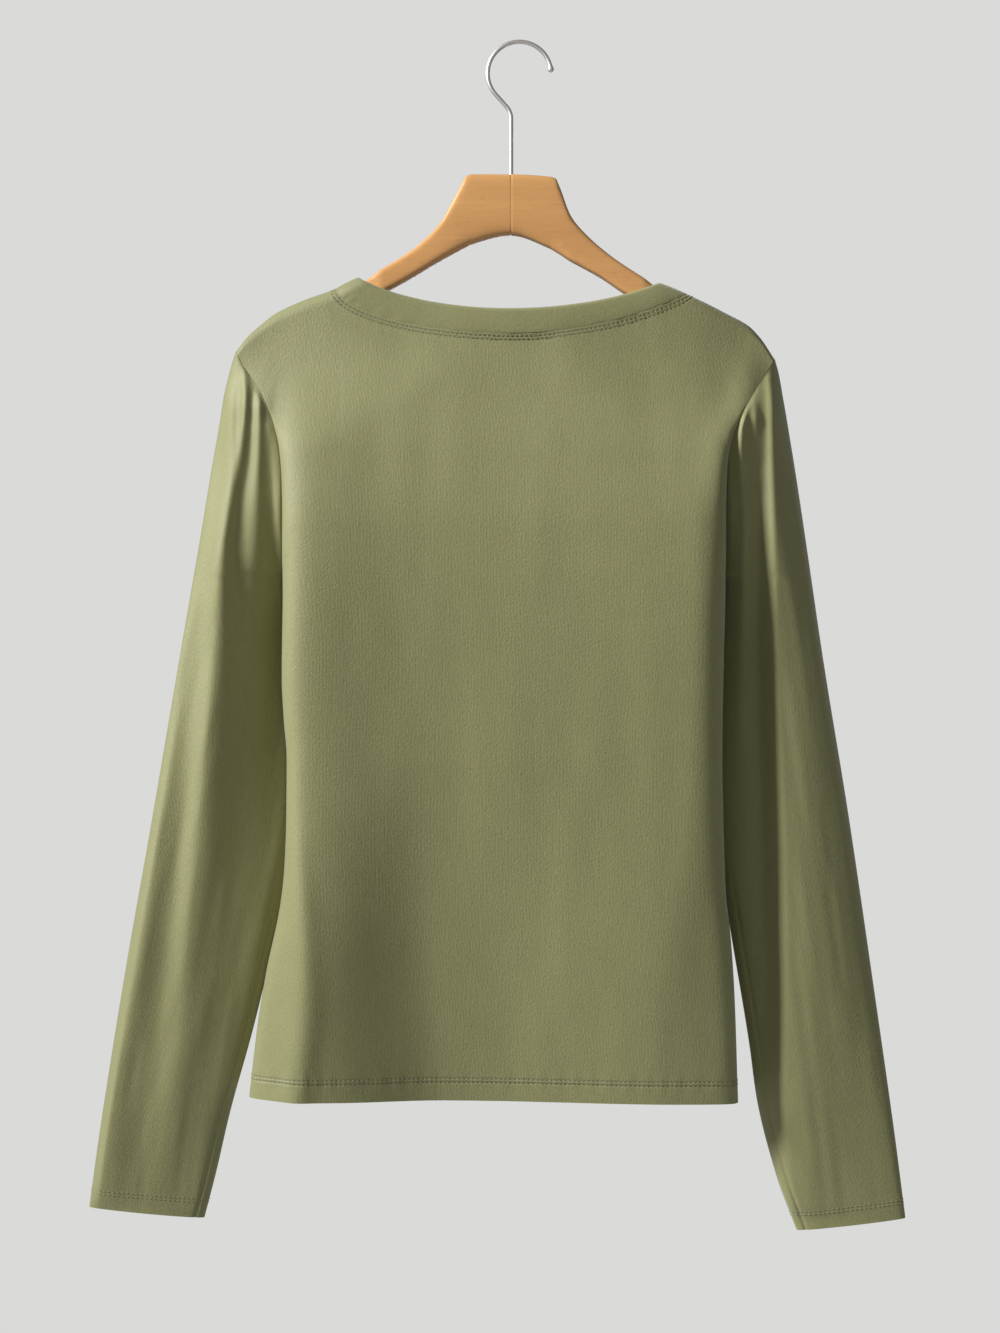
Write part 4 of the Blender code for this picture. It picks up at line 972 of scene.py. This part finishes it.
@dataclass
class Stitching:
    """Rows of small raised stitches along lines on the cloth."""

    stitch: float = 2.5
    pitch: float = 3.2
    radius: float = 0.26
    proud: float = 0.06
    sides: int = 6
    half_step: float = 0.6
    bar: Table = Table(
        "reach width sink",
        (-0.5, 0.35, -0.3), (-0.36, 0.9, 0), (0, 1, 0.06), (0.36, 0.9, 0), (0.5, 0.35, -0.3),
    )
    paths: list[tuple[Array, Array, Array]] = field(default_factory=list)

    def add(self, line: Line) -> None:
        """Adds a row of stitches along a line's points and normals."""
        points, normals = line
        run = lengths(points[None], 1)[0]
        count = max(int(run[-1] / self.pitch), 1)
        centre = (np.arange(count) + 0.5) * run[-1] / count

        def read(places: Array, values: Array) -> Array:
            """Returns values at places along the line."""
            return np.stack([np.interp(places, run, values[:, k]) for k in range(3)], axis=-1)

        start, end = (read(centre + off, points) for off in (-self.half_step, self.half_step))
        self.paths.append(((start + end) / 2, unit(end - start), unit(read(centre, normals))))

    def build(self, name: str, thread: "Thread") -> Piece:
        """Makes one mesh of all stitches: each is a short bar of rings, thin at both ends."""
        centre, along, out = (np.concatenate(part)[:, None, None] for part in zip(*self.paths))
        beside = unit(np.cross(along, out))
        reach, width, sink = (column[None, :, None, None] for column in self.bar.columns.values())
        turn = np.linspace(0, 2 * math.pi, self.sides, endpoint=False)[None, None, :, None]
        base = centre + along * (reach * self.stitch)
        base = base + out * (self.proud + sink)
        ring = out * np.sin(turn) + beside * np.cos(turn)
        points = (base + ring * (width * self.radius)).reshape(-1, 3)
        rings = len(self.bar.places)
        step = np.arange(rings - 1)[:, None] * self.sides
        a = step + np.arange(self.sides)
        b = step + (np.arange(self.sides) + 1) % self.sides
        quads = np.stack([a, b, b + self.sides, a + self.sides], axis=-1).reshape(-1, 4)
        faces = (quads[None] + np.arange(len(centre))[:, None, None] * rings * self.sides).reshape(-1, 4)
        mesh = bpy.data.meshes.new(name)
        mesh.from_pydata((points * MM).tolist(), [], faces.tolist())
        mesh.shade_smooth()
        return put_piece(name, mesh, thread)


@dataclass
class HangerArm:
    """Half of the wooden hanger: rounded sections along the arm, closed at the joint and the tip."""

    hand: Hand
    form: HangerForm
    reach: float
    joint_x: float = -0.6
    joint_gap: float = 0.05
    taper: float = 6.0
    joint_sunk: float = 0.022
    joint_wide: float = 0.45
    clothed_from: Pair = (90, 14)
    clothed_inset: float = 2.2
    sides: int = 56
    stations: int = 190
    squareness: float = 5.0

    def build(self, wood: "Wood") -> Piece:
        """Makes the arm: superellipse sections whose size follows the hanger's lines."""
        way, lines = self.hand.value, self.form.lines
        joint = self.joint_x + way * self.joint_gap / 2
        share = np.linspace(0, 1, self.stations)
        crowd = share * (0.55 + 0.45 * share)
        x = joint + (self.reach - way * self.taper - joint) * crowd
        tip = self.reach - way * self.taper * (1 - np.linspace(0, 0.985, 12)[1:])
        x = np.concatenate([x, tip])[:, None]
        from_tip = np.clip(way * (self.reach - x) / self.taper, 0, 1)
        size = np.sqrt(np.clip(1 - (1 - from_tip) ** 2, 0.02, 1))
        size = size * (1 - self.joint_sunk * bell(np.abs(x - joint), self.joint_wide))
        inset = self.clothed_inset * ramp(way * x, *self.clothed_from)
        top = lines.at(x, "top") + inset
        bottom = lines.at(x, "bottom") - inset
        turn = np.linspace(0, 2 * math.pi, self.sides, endpoint=False)
        power = 2 / self.squareness
        round_y, round_z = (np.sign(a) * np.abs(a) ** power for a in (np.cos(turn), np.sin(turn)))
        y = lines.at(x, "swept") + (lines.at(x, "thick") / 2 - inset) * size * round_y
        z = -(top + bottom) / 2 + (bottom - top) / 2 * size * round_z
        node = "hanger_arm_" + self.hand.name.lower()
        mesh = tube_mesh(node + "_wood", np.stack([np.broadcast_to(x, y.shape), y, z], axis=-1), way < 0)
        mesh.set_sharp_from_angle(angle=WOOD_EDGE)
        return put_piece(node + "_wood", mesh, wood, node)


@dataclass
class HangerHook:
    """The bent wire: an arc, a short run, a bend and a shank set in the wood, with a bead at its tip."""

    centre: Pair = (5.2, -20.0)
    radius: float = 22.2
    wire: float = 3.0
    tip_turn: float = 2.0
    back_turn: float = 222.0
    run: float = 11.0
    bend: float = 14.0
    shank_x: float = -0.6
    end_drop: float = 112.0
    bead: float = 0.42
    sides: int = 20

    def path(self) -> Array:
        """Returns the wire's middle line in the XZ plane."""
        turns = np.radians(np.linspace(self.tip_turn, self.back_turn, 90))
        arc = np.array(self.centre) + self.radius * np.stack([np.cos(turns), np.sin(turns)], axis=1)
        heading = math.radians(self.back_turn - 180)
        run = arc[-1] + self.run * np.array([math.sin(heading), -math.cos(heading)])
        swing = heading * (1 - np.linspace(0, 1, 24))
        centre = run + self.bend * np.array([-math.cos(heading), -math.sin(heading)])
        bend = centre + self.bend * np.stack([np.cos(swing), np.sin(swing)], axis=1)
        bend[:, 0] += (self.shank_x - bend[-1, 0]) * np.linspace(0, 1, 24)
        depth = np.linspace(bend[-1, 1] - 4, -self.end_drop, 10)
        return np.concatenate([arc, bend, np.stack([np.full(10, self.shank_x), depth], axis=1)])

    def build(self, steel: "Steel") -> Piece:
        """Makes the wire: circles carried along the middle line, swollen into a bead at the tip."""
        path = self.path()
        along = unit(np.gradient(path, axis=0))
        across = np.stack([-along[:, 1], along[:, 0]], axis=1)
        run = lengths(path[None], 1)[0]
        bead = self.bead * bell(run - 2.2, 1.7) - 0.75 * bell(run, 0.55)
        radius = (self.wire / 2 * (1 + bead))[:, None]
        turn = np.linspace(0, 2 * math.pi, self.sides, endpoint=False)
        x, z = (path[:, k : k + 1] + radius * across[:, k : k + 1] * np.cos(turn) for k in (0, 1))
        mesh = tube_mesh("hook_wire", np.stack([x, radius * np.sin(turn), z], axis=-1), False)
        return put_piece("hook_wire", mesh, steel, "hanger_hook")


class Nodes:
    """A new material's node tree, with short ways to add nodes and join them."""

    def __init__(self, name: str) -> None:
        """Starts a material with its principled shader."""
        self.material = bpy.data.materials.new(name)
        self.material.use_nodes = True
        self.tree = self.material.node_tree
        self.shader = self.tree.nodes["Principled BSDF"]

    def add(self, kind: str, **settings: object) -> bpy.types.Node:
        """Adds a node with settings."""
        node = self.tree.nodes.new(kind)
        for name, value in settings.items():
            setattr(node, name, value)
        return node

    def place(self) -> Socket:
        """Returns the object's own coordinates."""
        return self.add("ShaderNodeTexCoord").outputs["Object"]

    def give(self, node: bpy.types.Node, values: dict[str | int, object]) -> None:
        """Sets a node's inputs to numbers, or joins sockets to them."""
        for name, value in values.items():
            if isinstance(value, Socket):
                self.tree.links.new(value, node.inputs[name])
            else:
                node.inputs[name].default_value = value

    def math(self, operation: str, *inputs: Socket | float, clamp: bool = False) -> Socket:
        """Adds a math node.

        Args:
            operation: Its operation.
            inputs: Numbers or sockets.
            clamp: Whether the result is held from 0 to 1.

        Returns:
            Its output.
        """
        node = self.add("ShaderNodeMath", operation=operation, use_clamp=clamp)
        self.give(node, dict(enumerate(inputs)))
        return node.outputs[0]

    def times(self, one: Socket | float, two: Socket | float) -> Socket:
        """Returns a product."""
        return self.math("MULTIPLY", one, two)

    def mix(self, *parts: tuple[Socket, float]) -> Socket:
        """Returns the sum of sockets, each times its weight."""
        total, *others = (self.times(part, weight) for part, weight in parts)
        for other in others:
            total = self.math("ADD", total, other)
        return total

    def noise(self, vector: Socket, stretch: Color, detail: float) -> Socket:
        """Adds stretched noise.

        Args:
            vector: The coordinates.
            stretch: How many cells to a metre along each axis.
            detail: Its detail.

        Returns:
            Its value.
        """
        mapping = self.add("ShaderNodeMapping")
        self.give(mapping, {"Scale": stretch, "Vector": vector})
        node = self.add("ShaderNodeTexNoise")
        self.give(node, {"Scale": 1.0, "Detail": detail, "Vector": mapping.outputs[0]})
        return node.outputs[0]

    def blend(self, share: Socket, low: Color, high: Color) -> Socket:
        """Adds a ramp between two colours and returns its colour."""
        node = self.add("ShaderNodeValToRGB")
        for end, color, position in zip(node.color_ramp.elements, (low, high), (0.25, 0.75)):
            end.color = (*color, 1.0)
            end.position = position
        self.give(node, {0: share})
        return node.outputs[0]

    def layer(self, kind: str, share: Socket | float, under: Socket, over: object) -> Socket:
        """Lays one colour over another and returns the result."""
        node = self.add("ShaderNodeMix", data_type="RGBA", blend_type=kind)
        self.give(node, {"Factor": share, 6: under, 7: over})
        return node.outputs[2]

    def bump(self, height: Socket, distance: float, strength: float) -> None:
        """Gives the shader a bump from a height."""
        node = self.add("ShaderNodeBump")
        self.give(node, {"Distance": distance, "Strength": strength, "Height": height})
        self.give(self.shader, {"Normal": node.outputs[0]})


class Finish:
    """A material that is built once and shared."""

    name = ""

    def dress(self, piece: Piece) -> None:
        """Gives a piece this finish."""
        made = bpy.data.materials.get(self.name)
        if made is None:
            nodes = Nodes(self.name)
            self.paint(nodes)
            made = nodes.material
        piece.data.materials.append(made)

    def paint(self, nodes: Nodes) -> None:
        """Fills in the material's nodes."""
        raise NotImplementedError


@dataclass(frozen=True)
class Jersey(Finish):
    """Fine single-knit jersey: wales and courses in relief, faint streaks along the wales, soft sheen."""

    name = "jersey_knit"
    light: Color = (0.278, 0.276, 0.114)
    dark: Color = (0.208, 0.205, 0.079)
    wale: float = 0.0010
    course: float = 0.0008
    stitch_pitch: float = 0.0032
    mark_narrow: float = 1.15
    # How far painted shade darkens the cloth along the stitched rows' grooves.
    groove_shade: float = 0.6
    wander: float = 9.0

    def paint(self, nodes: Nodes) -> None:
        """Builds the knit from the cloth's UV map, and a darker dotted line under each stitched row,
        painted shade standing in for the shadow in its groove.
        """
        uv = nodes.add("ShaderNodeUVMap", uv_map="knit").outputs[0]
        split = nodes.add("ShaderNodeSeparateXYZ")
        nodes.give(split, {0: uv})
        across, down = split.outputs[0], split.outputs[1]
        streaks = nodes.noise(uv, (520.0, 45.0, 1.0), 2.0)
        specks = nodes.noise(uv, (620.0, 520.0, 1.0), 3.0)
        clouds = nodes.noise(uv, (60.0, 40.0, 1.0), 3.0)
        tone = nodes.mix((streaks, 0.15), (clouds, 0.2), (specks, 0.65))

        marks = nodes.add("ShaderNodeAttribute", attribute_name="from_stitches").outputs["Fac"]
        rows = nodes.math("SUBTRACT", 1.0, nodes.times(marks, self.mark_narrow), clamp=True)
        # Painted shade: the base colour is darkened in dots along each stitched row, standing in for the
        # shadow in its groove.
        beat = nodes.math("SINE", nodes.times(across, 2 * math.pi / self.stitch_pitch))
        groove_shade_dots = nodes.times(rows, nodes.math("ADD", 0.7, nodes.times(beat, 0.3)))
        unshaded = nodes.math("SUBTRACT", 1.0, nodes.times(groove_shade_dots, self.groove_shade))
        color = nodes.layer("MULTIPLY", 1.0, nodes.blend(tone, self.dark, self.light), unshaded)

        wander = nodes.times(nodes.noise(uv, (260.0, 200.0, 1.0), 2.0), self.wander)
        wales = nodes.math("ADD", nodes.times(across, 2 * math.pi / self.wale), wander)
        wales = nodes.math("COSINE", wales)
        rise = nodes.math("ABSOLUTE", nodes.math("SINE", nodes.times(across, math.pi / self.wale)))
        slant = nodes.math("ADD", down, nodes.times(rise, self.course / 2))
        courses = nodes.math("COSINE", nodes.times(slant, 2 * math.pi / self.course))
        height = nodes.mix((wales, 0.22), (courses, 0.14), (streaks, 0.7), (specks, 2.0))
        nodes.bump(nodes.math("SUBTRACT", height, nodes.times(rows, 2.5)), 0.0002, 0.6)
        surface = {"Base Color": color, "Roughness": 0.56, "Specular IOR Level": 0.55}
        sheen = {"Sheen Weight": 0.46, "Sheen Roughness": 0.5, "Sheen Tint": (1.0, 1.0, 0.93, 1.0)}
        nodes.give(nodes.shader, surface | sheen)


@dataclass(frozen=True)
class Thread(Finish):
    """Spun sewing thread in the cloth's own colour."""

    name = "sewing_thread"
    light: Color = (0.27, 0.265, 0.135)
    dark: Color = (0.20, 0.197, 0.098)

    def paint(self, nodes: Nodes) -> None:
        """Builds a twisted thread from the piece's own coordinates."""
        twist = nodes.noise(nodes.place(), (900.0, 900.0, 2600.0), 2.0)
        nodes.bump(twist, 0.0001, 0.6)
        color = nodes.blend(twist, self.dark, self.light)
        nodes.give(nodes.shader, {"Base Color": color, "Roughness": 0.6, "Sheen Weight": 0.2})


@dataclass(frozen=True)
class Wood(Finish):
    """Pale hardwood under satin lacquer, its grain running along the arm."""

    name = "lacquered_hardwood"
    light: Color = (0.74, 0.395, 0.145)
    dark: Color = (0.60, 0.295, 0.100)
    pore: Color = (0.42, 0.19, 0.06)

    def paint(self, nodes: Nodes) -> None:
        """Builds grain from stretched noise: broad figure, fine streaks and short pores."""
        place = nodes.place()
        figure = nodes.noise(place, (9.0, 55.0, 75.0), 4.0)
        streaks = nodes.noise(place, (30.0, 500.0, 620.0), 3.0)
        pores = nodes.noise(place, (120.0, 1700.0, 1900.0), 1.0)
        color = nodes.blend(nodes.mix((figure, 0.62), (streaks, 0.38)), self.dark, self.light)
        deep = nodes.math("SUBTRACT", pores, 0.62, clamp=True)
        pore = nodes.math("MULTIPLY", deep, 3.0, clamp=True)
        color = nodes.layer("MIX", pore, color, (*self.pore, 1.0))
        nodes.bump(nodes.math("SUBTRACT", streaks, pore), 0.00008, 0.5)
        lacquer = {"Roughness": 0.34, "Coat Weight": 0.35, "Coat Roughness": 0.18}
        nodes.give(nodes.shader, {"Base Color": color, **lacquer})


@dataclass(frozen=True)
class Steel(Finish):
    """Satin steel wire, a little darker in patches."""

    name = "bright_steel"
    color: Color = (0.86, 0.83, 0.79)
    worn: Color = (0.74, 0.71, 0.67)

    def paint(self, nodes: Nodes) -> None:
        """Builds the metal from the piece's own coordinates."""
        patches = nodes.noise(nodes.place(), (160.0, 700.0, 160.0), 3.0)
        nodes.bump(patches, 0.00005, 0.3)
        color = nodes.blend(patches, self.worn, self.color)
        nodes.give(nodes.shader, {"Base Color": color, "Metallic": 1.0, "Roughness": 0.46})


class FloorPaint(Finish):
    """Matt pale paint."""

    name = "pale_floor"

    def paint(self, nodes: Nodes) -> None:
        """Builds a pale grey with faint clouds."""
        clouds = nodes.noise(nodes.place(), (3.0, 3.0, 3.0), 3.0)
        color = nodes.blend(clouds, (0.70, 0.70, 0.69), (0.74, 0.74, 0.73))
        nodes.give(nodes.shader, {"Base Color": color, "Roughness": 0.8})


@dataclass
class Studio:
    """Camera, soft lights, a pale surround and a plain pale floor well below the garment."""

    distance: float = 1.7
    centre: Pair = (-0.0084, -0.435)
    lens: float = 65.6
    floor_drop: float = 1.25
    floor_radius: float = 1.15
    floor_sides: int = 96
    surround: float = 0.70
    ambient: float = 0.18
    aim_drop: float = 0.10
    spread: float = math.radians(60)

    def build(self) -> None:
        """Sets up everything that isn't part of the object."""
        scene = bpy.context.scene
        scene.view_settings.view_transform = "Standard"
        eye = bpy.data.cameras.new("camera")
        eye.lens = self.lens
        eye.sensor_width = 36.0
        camera = bpy.data.objects.new("camera", eye)
        camera.location = (self.centre[0], -self.distance, self.centre[1])
        camera.rotation_euler = (math.radians(90), 0, 0)
        scene.collection.objects.link(camera)
        scene.camera = camera
        self.light("key", (-4.0, -1.6, 1.75), 1.0, 43.5)
        self.light("fill", (1.4, -2.6, 0.1), 1.4, 0.6)
        self.light("far side", (0.7, 3.8, 0.3), 1.4, 2.5)
        self.world()
        self.floor()

    def light(self, name: str, place: tuple[float, float, float], size: float, power: float) -> None:
        """Adds a square soft light that points at the garment.

        Args:
            name: Its name.
            place: Where it stands.
            size: Its side in metres.
            power: Its power in watts.
        """
        lamp = bpy.data.lights.new(name, "AREA")
        lamp.size = size
        lamp.energy = power
        lamp.spread = self.spread
        made = bpy.data.objects.new(name, lamp)
        made.location = place
        aim = Vector((0.0, 0.0, -self.aim_drop)) - made.location
        made.rotation_euler = aim.to_track_quat("-Z", "Y").to_euler()
        bpy.context.scene.collection.objects.link(made)

    def world(self) -> None:
        """Fills the surround with pale grey, dimmer as a light than as a backdrop."""
        world = bpy.data.worlds.new("surround")
        bpy.context.scene.world = world
        world.use_nodes = True
        tree = world.node_tree
        back = tree.nodes["Background"]
        back.inputs["Color"].default_value = (self.surround, self.surround, self.surround * 0.99, 1.0)
        path = tree.nodes.new("ShaderNodeLightPath")
        level = tree.nodes.new("ShaderNodeMapRange")
        level.inputs["To Min"].default_value = self.ambient / self.surround
        level.inputs["To Max"].default_value = 1.0
        tree.links.new(path.outputs["Is Camera Ray"], level.inputs["Value"])
        tree.links.new(level.outputs["Result"], back.inputs["Strength"])

    def floor(self) -> None:
        """Makes a round pale floor."""
        turn = np.linspace(0, 2 * math.pi, self.floor_sides, endpoint=False)
        rim = np.stack([np.cos(turn), np.sin(turn), turn * 0], axis=1) * self.floor_radius
        mesh = bpy.data.meshes.new("studio_floor")
        places = rim + np.array([0, 0, -self.floor_drop])
        mesh.from_pydata(places.tolist(), [], [list(range(self.floor_sides))])
        made = bpy.data.objects.new("studio_floor", mesh)
        bpy.context.scene.collection.objects.link(made)
        FloorPaint().dress(made)


LEFT_EDGE = Table(
    "drop x back front crisp",
    (213.9, -193.5, 9, 9, 1), (215.2, -192.9, 4.5, 13.5, 1), (218.5, -191.2, 0, 17.5, 1),
    (225.4, -187.4, -4.5, 21, 1), (231.7, -182.8, -7.5, 23.5, 0.95), (242, -176, -10.5, 26, 0.9),
    (258, -168.4, -14, 28, 0.62), (268, -165.2, -14, 28.5, 0.48), (283.5, -161.8, -12.5, 28, 0.34),
    (305, -159.9, -9.5, 26, 0.26), (335, -159.2, -4.5, 22, 0.21), (356, -159.2, -0.5, 17, 0.18),
    (367, -159.3, 3.6, 12.8, 0.18), (372, -159.4, 8, 8, 0.18), (388.5, -159.2, 8, 8, 0.18),
    (444.5, -159.7, 6, 6, 0.18), (472, -158.4, 5, 5, 0.18), (500.5, -156.2, 4, 4, 0.18),
    (542.5, -156.5, 3, 3, 0.18), (577.5, -158, 2.5, 2.5, 0.18), (602, -161, 2, 2, 0.18),
    (645.4, -170.4, 1.5, 1.5, 0.18), (682.5, -176.7, 1, 1, 0.18), (733.2, -182.7, 0, 0, 0.18),
)
RIGHT_EDGE = Table(
    "drop x back front crisp",
    (219, 183.9, 9, 9, 1), (220.4, 183.3, 4.5, 13.5, 1), (224, 181, 0, 17.5, 1),
    (234.5, 174.7, -7.5, 22, 0.95), (243.3, 169.1, -12.5, 25, 0.9), (255.5, 161.7, -17, 28, 0.62),
    (265.7, 156.6, -19, 28.5, 0.48), (279.3, 151.6, -19.5, 28.5, 0.34), (296.8, 148.8, -17, 27, 0.26),
    (330, 148, -9.5, 22.5, 0.21), (357, 148.2, -1.5, 17, 0.18), (369, 148.3, 3.6, 12.8, 0.18),
    (374, 148.4, 8, 8, 0.18), (430, 147, 6.5, 6.5, 0.18), (500, 145.9, 4, 4, 0.18),
    (540, 146.6, 3, 3, 0.18), (590, 148.3, 2.5, 2.5, 0.18), (624, 152, 2, 2, 0.18),
    (665, 154.7, 1, 1, 0.18), (737.5, 157.3, 0, 0, 0.18),
)
BACK_FOLDS = Folds(
    (
        (225, -140, 0, 25, 40), (283, -142, 3, 25, 40), (330, -143, 5, 25, 42), (423, -145, 7, 25, 46),
        (493, -145, 8, 25, 50), (563, -143, 11.5, 22, 56), (633, -139.5, 13.5, 22, 56),
        (742, -146, 14.5, 26, 66),
    ),
    (
        (500, -56, 0, 38, 90), (570, -58, -3.5, 38, 110), (640, -56, -6, 42, 130),
        (742, -46, -8, 46, 140),
    ),
    (
        (300, 124, 0, 110, 22), (423, 124, 3, 120, 24), (520, 120, 3.5, 110, 26), (590, 108, 4, 90, 30),
        (633, 100, 4.5, 90, 34), (742, 96, 5, 85, 40),
    ),
    (
        (232, 166, 0, 12, 12), (283, 152, 4.5, 15, 15), (335, 150, 0, 15, 15),
    ),
    (
        (545, -147, 0, 9, 6), (600, -142, 1.4, 9, 8), (660, -139, 2, 10, 9), (742, -147, 2.2, 11, 9),
    ),
)
FRONT_FOLDS = Folds(
    (
        (300, -70, 0, 26, 26), (480, -82, -2.5, 24, 24), (742, -98, -3.5, 20, 20),
    ),
    (
        (300, 66, 0, 26, 26), (500, 78, -2.2, 24, 24), (742, 92, -3.2, 20, 20),
    ),
)
LEFT_OUTER = Table(
    "drop x y",
    (213.9, -193.5, 9), (219, -195.8, 9), (228.9, -198.8, 9), (245.7, -202.8, 9), (262.5, -205.4, 9),
    (296, -211.2, 9), (346.5, -219.4, 9), (430.5, -233.8, 9), (542.5, -253, 9), (654.5, -272.6, 8),
    (766.5, -290, 5), (813.4, -296.3, 4),
)
LEFT_INNER = Table(
    "drop x y",
    (372, -159.8, 8), (380, -159.9, 9), (392, -159.4, 12), (410, -157.8, 16), (440, -155.4, 19),
    (500, -153, 19), (550, -154, 18), (584.5, -158.2, 16.5), (640.5, -170.4, 14), (692.3, -182.9, 12),
    (749, -198.4, 9), (790.3, -207.9, 8), (821.8, -216, 7),
)
LEFT_SECTION = Table(
    "drop back front lean",
    (213.9, 0, 0, 0), (245, 3, 3, 0), (300, 8, 8, 0), (372, 15, 13, 0), (450, 16, 13, 1),
    (600, 13, 12, 4), (720, 10, 10, 6.8), (813.4, 7, 7.5, 8.4),
)
RIGHT_OUTER = Table(
    "drop x y",
    (219, 183.9, 9), (222.5, 185.6, 9), (228.9, 187.6, 9), (245.7, 190.5, 9), (262.5, 193.4, 9),
    (296, 198.9, 9), (346.5, 206.3, 9), (430.5, 218.6, 9), (542.5, 236.9, 9), (654.5, 253.3, 8),
    (766.5, 268.9, 5), (821.1, 275.8, 4),
)
RIGHT_INNER = Table(
    "drop x y",
    (374, 148.8, 8), (382, 148.9, 9), (394, 148.3, 12), (412, 146.8, 16), (440, 144.6, 19),
    (500, 142.6, 19), (540, 143.8, 18), (574.7, 147, 16.5), (624.4, 154.7, 14), (702, 167.4, 12),
    (738.5, 172.2, 10), (794.5, 186.4, 8), (830.6, 199.9, 7),
)
RIGHT_SECTION = Table(
    "drop back front lean",
    (219, 0, 0, 0), (245, 2.5, 2.5, 0), (300, 11, 8, 0), (374, 18, 13, 0), (450, 19.5, 13, 1),
    (600, 16, 12, 4.5), (720, 11.5, 10, 7.6), (821.1, 7, 7.5, 9.5),
)
LEFT_FOLDS = Folds(
    (
        (240, -196, 0.5, 5, 5), (283.5, -195.6, 4.5, 7, 5), (360.5, -202, 8.5, 10, 8),
        (402, -203.5, 9.5, 11, 12), (458, -208.5, 9.5, 11, 17), (512.4, -214, 9, 11, 20),
        (572, -219.5, 7.5, 11, 21), (633, -225.5, 5.5, 12, 20), (686, -229, 4, 14, 18),
        (740, -238, 2.5, 16, 18), (805, -247, 0.3, 14, 14),
    ),
    (
        (226, -187.2, 0.6, 2.8, 2.8), (248.5, -185.6, 3.6, 3.2, 3.4), (283.5, -188.3, 3.8, 4, 4),
        (318.5, -193, 2, 5, 5), (350, -197, 0, 6, 6),
    ),
    (
        (242, -176.6, 0.4, 2.8, 2.8), (256, -175.5, 3, 3.2, 3), (290, -176.5, 1.9, 3.6, 3.4),
        (330, -178, 0.8, 5, 4.5), (372, -179, 0, 7, 6),
    ),
    (
        (270, -169, 0, 6, 5), (310, -168, -3.5, 8, 5), (380, -166.5, -4.5, 11, 6),
        (450, -166, -4.5, 12, 7), (520, -168, -2, 14, 8), (600, -175, 0, 14, 8),
    ),
    (
        (450, -230, 0, 6, 10), (512, -240.5, 3, 6, 11), (590, -254, 5, 6, 14), (654, -265.5, 6, 6, 16),
        (766, -283, 6, 6, 18), (811, -289, 3.5, 6, 20),
    ),
)
RIGHT_FOLDS = Folds(
    (
        (231, 179.6, 0.8, 3, 5), (261, 181.5, 5.5, 5, 14), (322.7, 182, 9, 7, 28),
        (421, 185, 10.5, 8, 38), (481.6, 187.5, 10.5, 8, 42), (572, 191, 10, 8.5, 44),
        (655, 192.5, 9.5, 9, 44), (723, 192, 8.5, 9, 40), (780, 195, 6, 10, 42), (818, 199, 3, 10, 42),
    ),
    (
        (250, 168, 0.4, 2.6, 2.6), (262, 169, 1.2, 3, 3), (280, 169.5, 0, 3, 3),
    ),
    (
        (252, 163, 0.4, 2.8, 2.8), (262, 160, 2.4, 3, 3), (284, 158, 3.4, 3.4, 3.6),
        (340, 161.5, 3, 4, 4.6), (420, 161, 2, 5, 5), (500, 160, 0, 6, 6),
    ),
    (
        (290, 172, 0, 4, 4), (360, 171, -2, 6, 4), (500, 173.5, -3.6, 9, 5), (620, 176, -2.5, 10, 6),
        (720, 181, 0, 10, 7),
    ),
)


def main() -> None:
    """Builds and dresses every piece in order."""
    logging.basicConfig(level=logging.INFO, format="%(message)s")
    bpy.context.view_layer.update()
    jersey, hanger = Jersey(), HangerForm()
    form = BodyForm(hanger)
    back = Panel("back", Side.BACK, form, LEFT_EDGE, RIGHT_EDGE, BACK_FOLDS)
    front = Panel("front", Side.FRONT, form, LEFT_EDGE, RIGHT_EDGE, FRONT_FOLDS)
    sleeves = (
        Sleeve("sleeve_left", Hand.LEFT, LEFT_OUTER, LEFT_INNER, LEFT_SECTION, LEFT_FOLDS, 31),
        Sleeve("sleeve_right", Hand.RIGHT, RIGHT_OUTER, RIGHT_INNER, RIGHT_SECTION, RIGHT_FOLDS, 51),
    )
    arms = ["hanger_arm_left", "hanger_arm_right"]
    back.build(jersey)
    front.build(jersey)
    for sleeve, arm in zip(sleeves, arms):
        sleeve.build(back, front, jersey)
    Neckband(form).build(jersey)

    stitching = Stitching()
    for part in (back, front, *sleeves):
        for line in part.stitch_lines():
            stitching.add(line)
    stitching.build("coverstitching", Thread())

    HangerArm(Hand.LEFT, hanger, -181.0).build(Wood())
    HangerArm(Hand.RIGHT, hanger, 173.5).build(Wood())
    HangerHook().build(Steel())
    Studio().build()


if __name__ == "__main__":
    main()
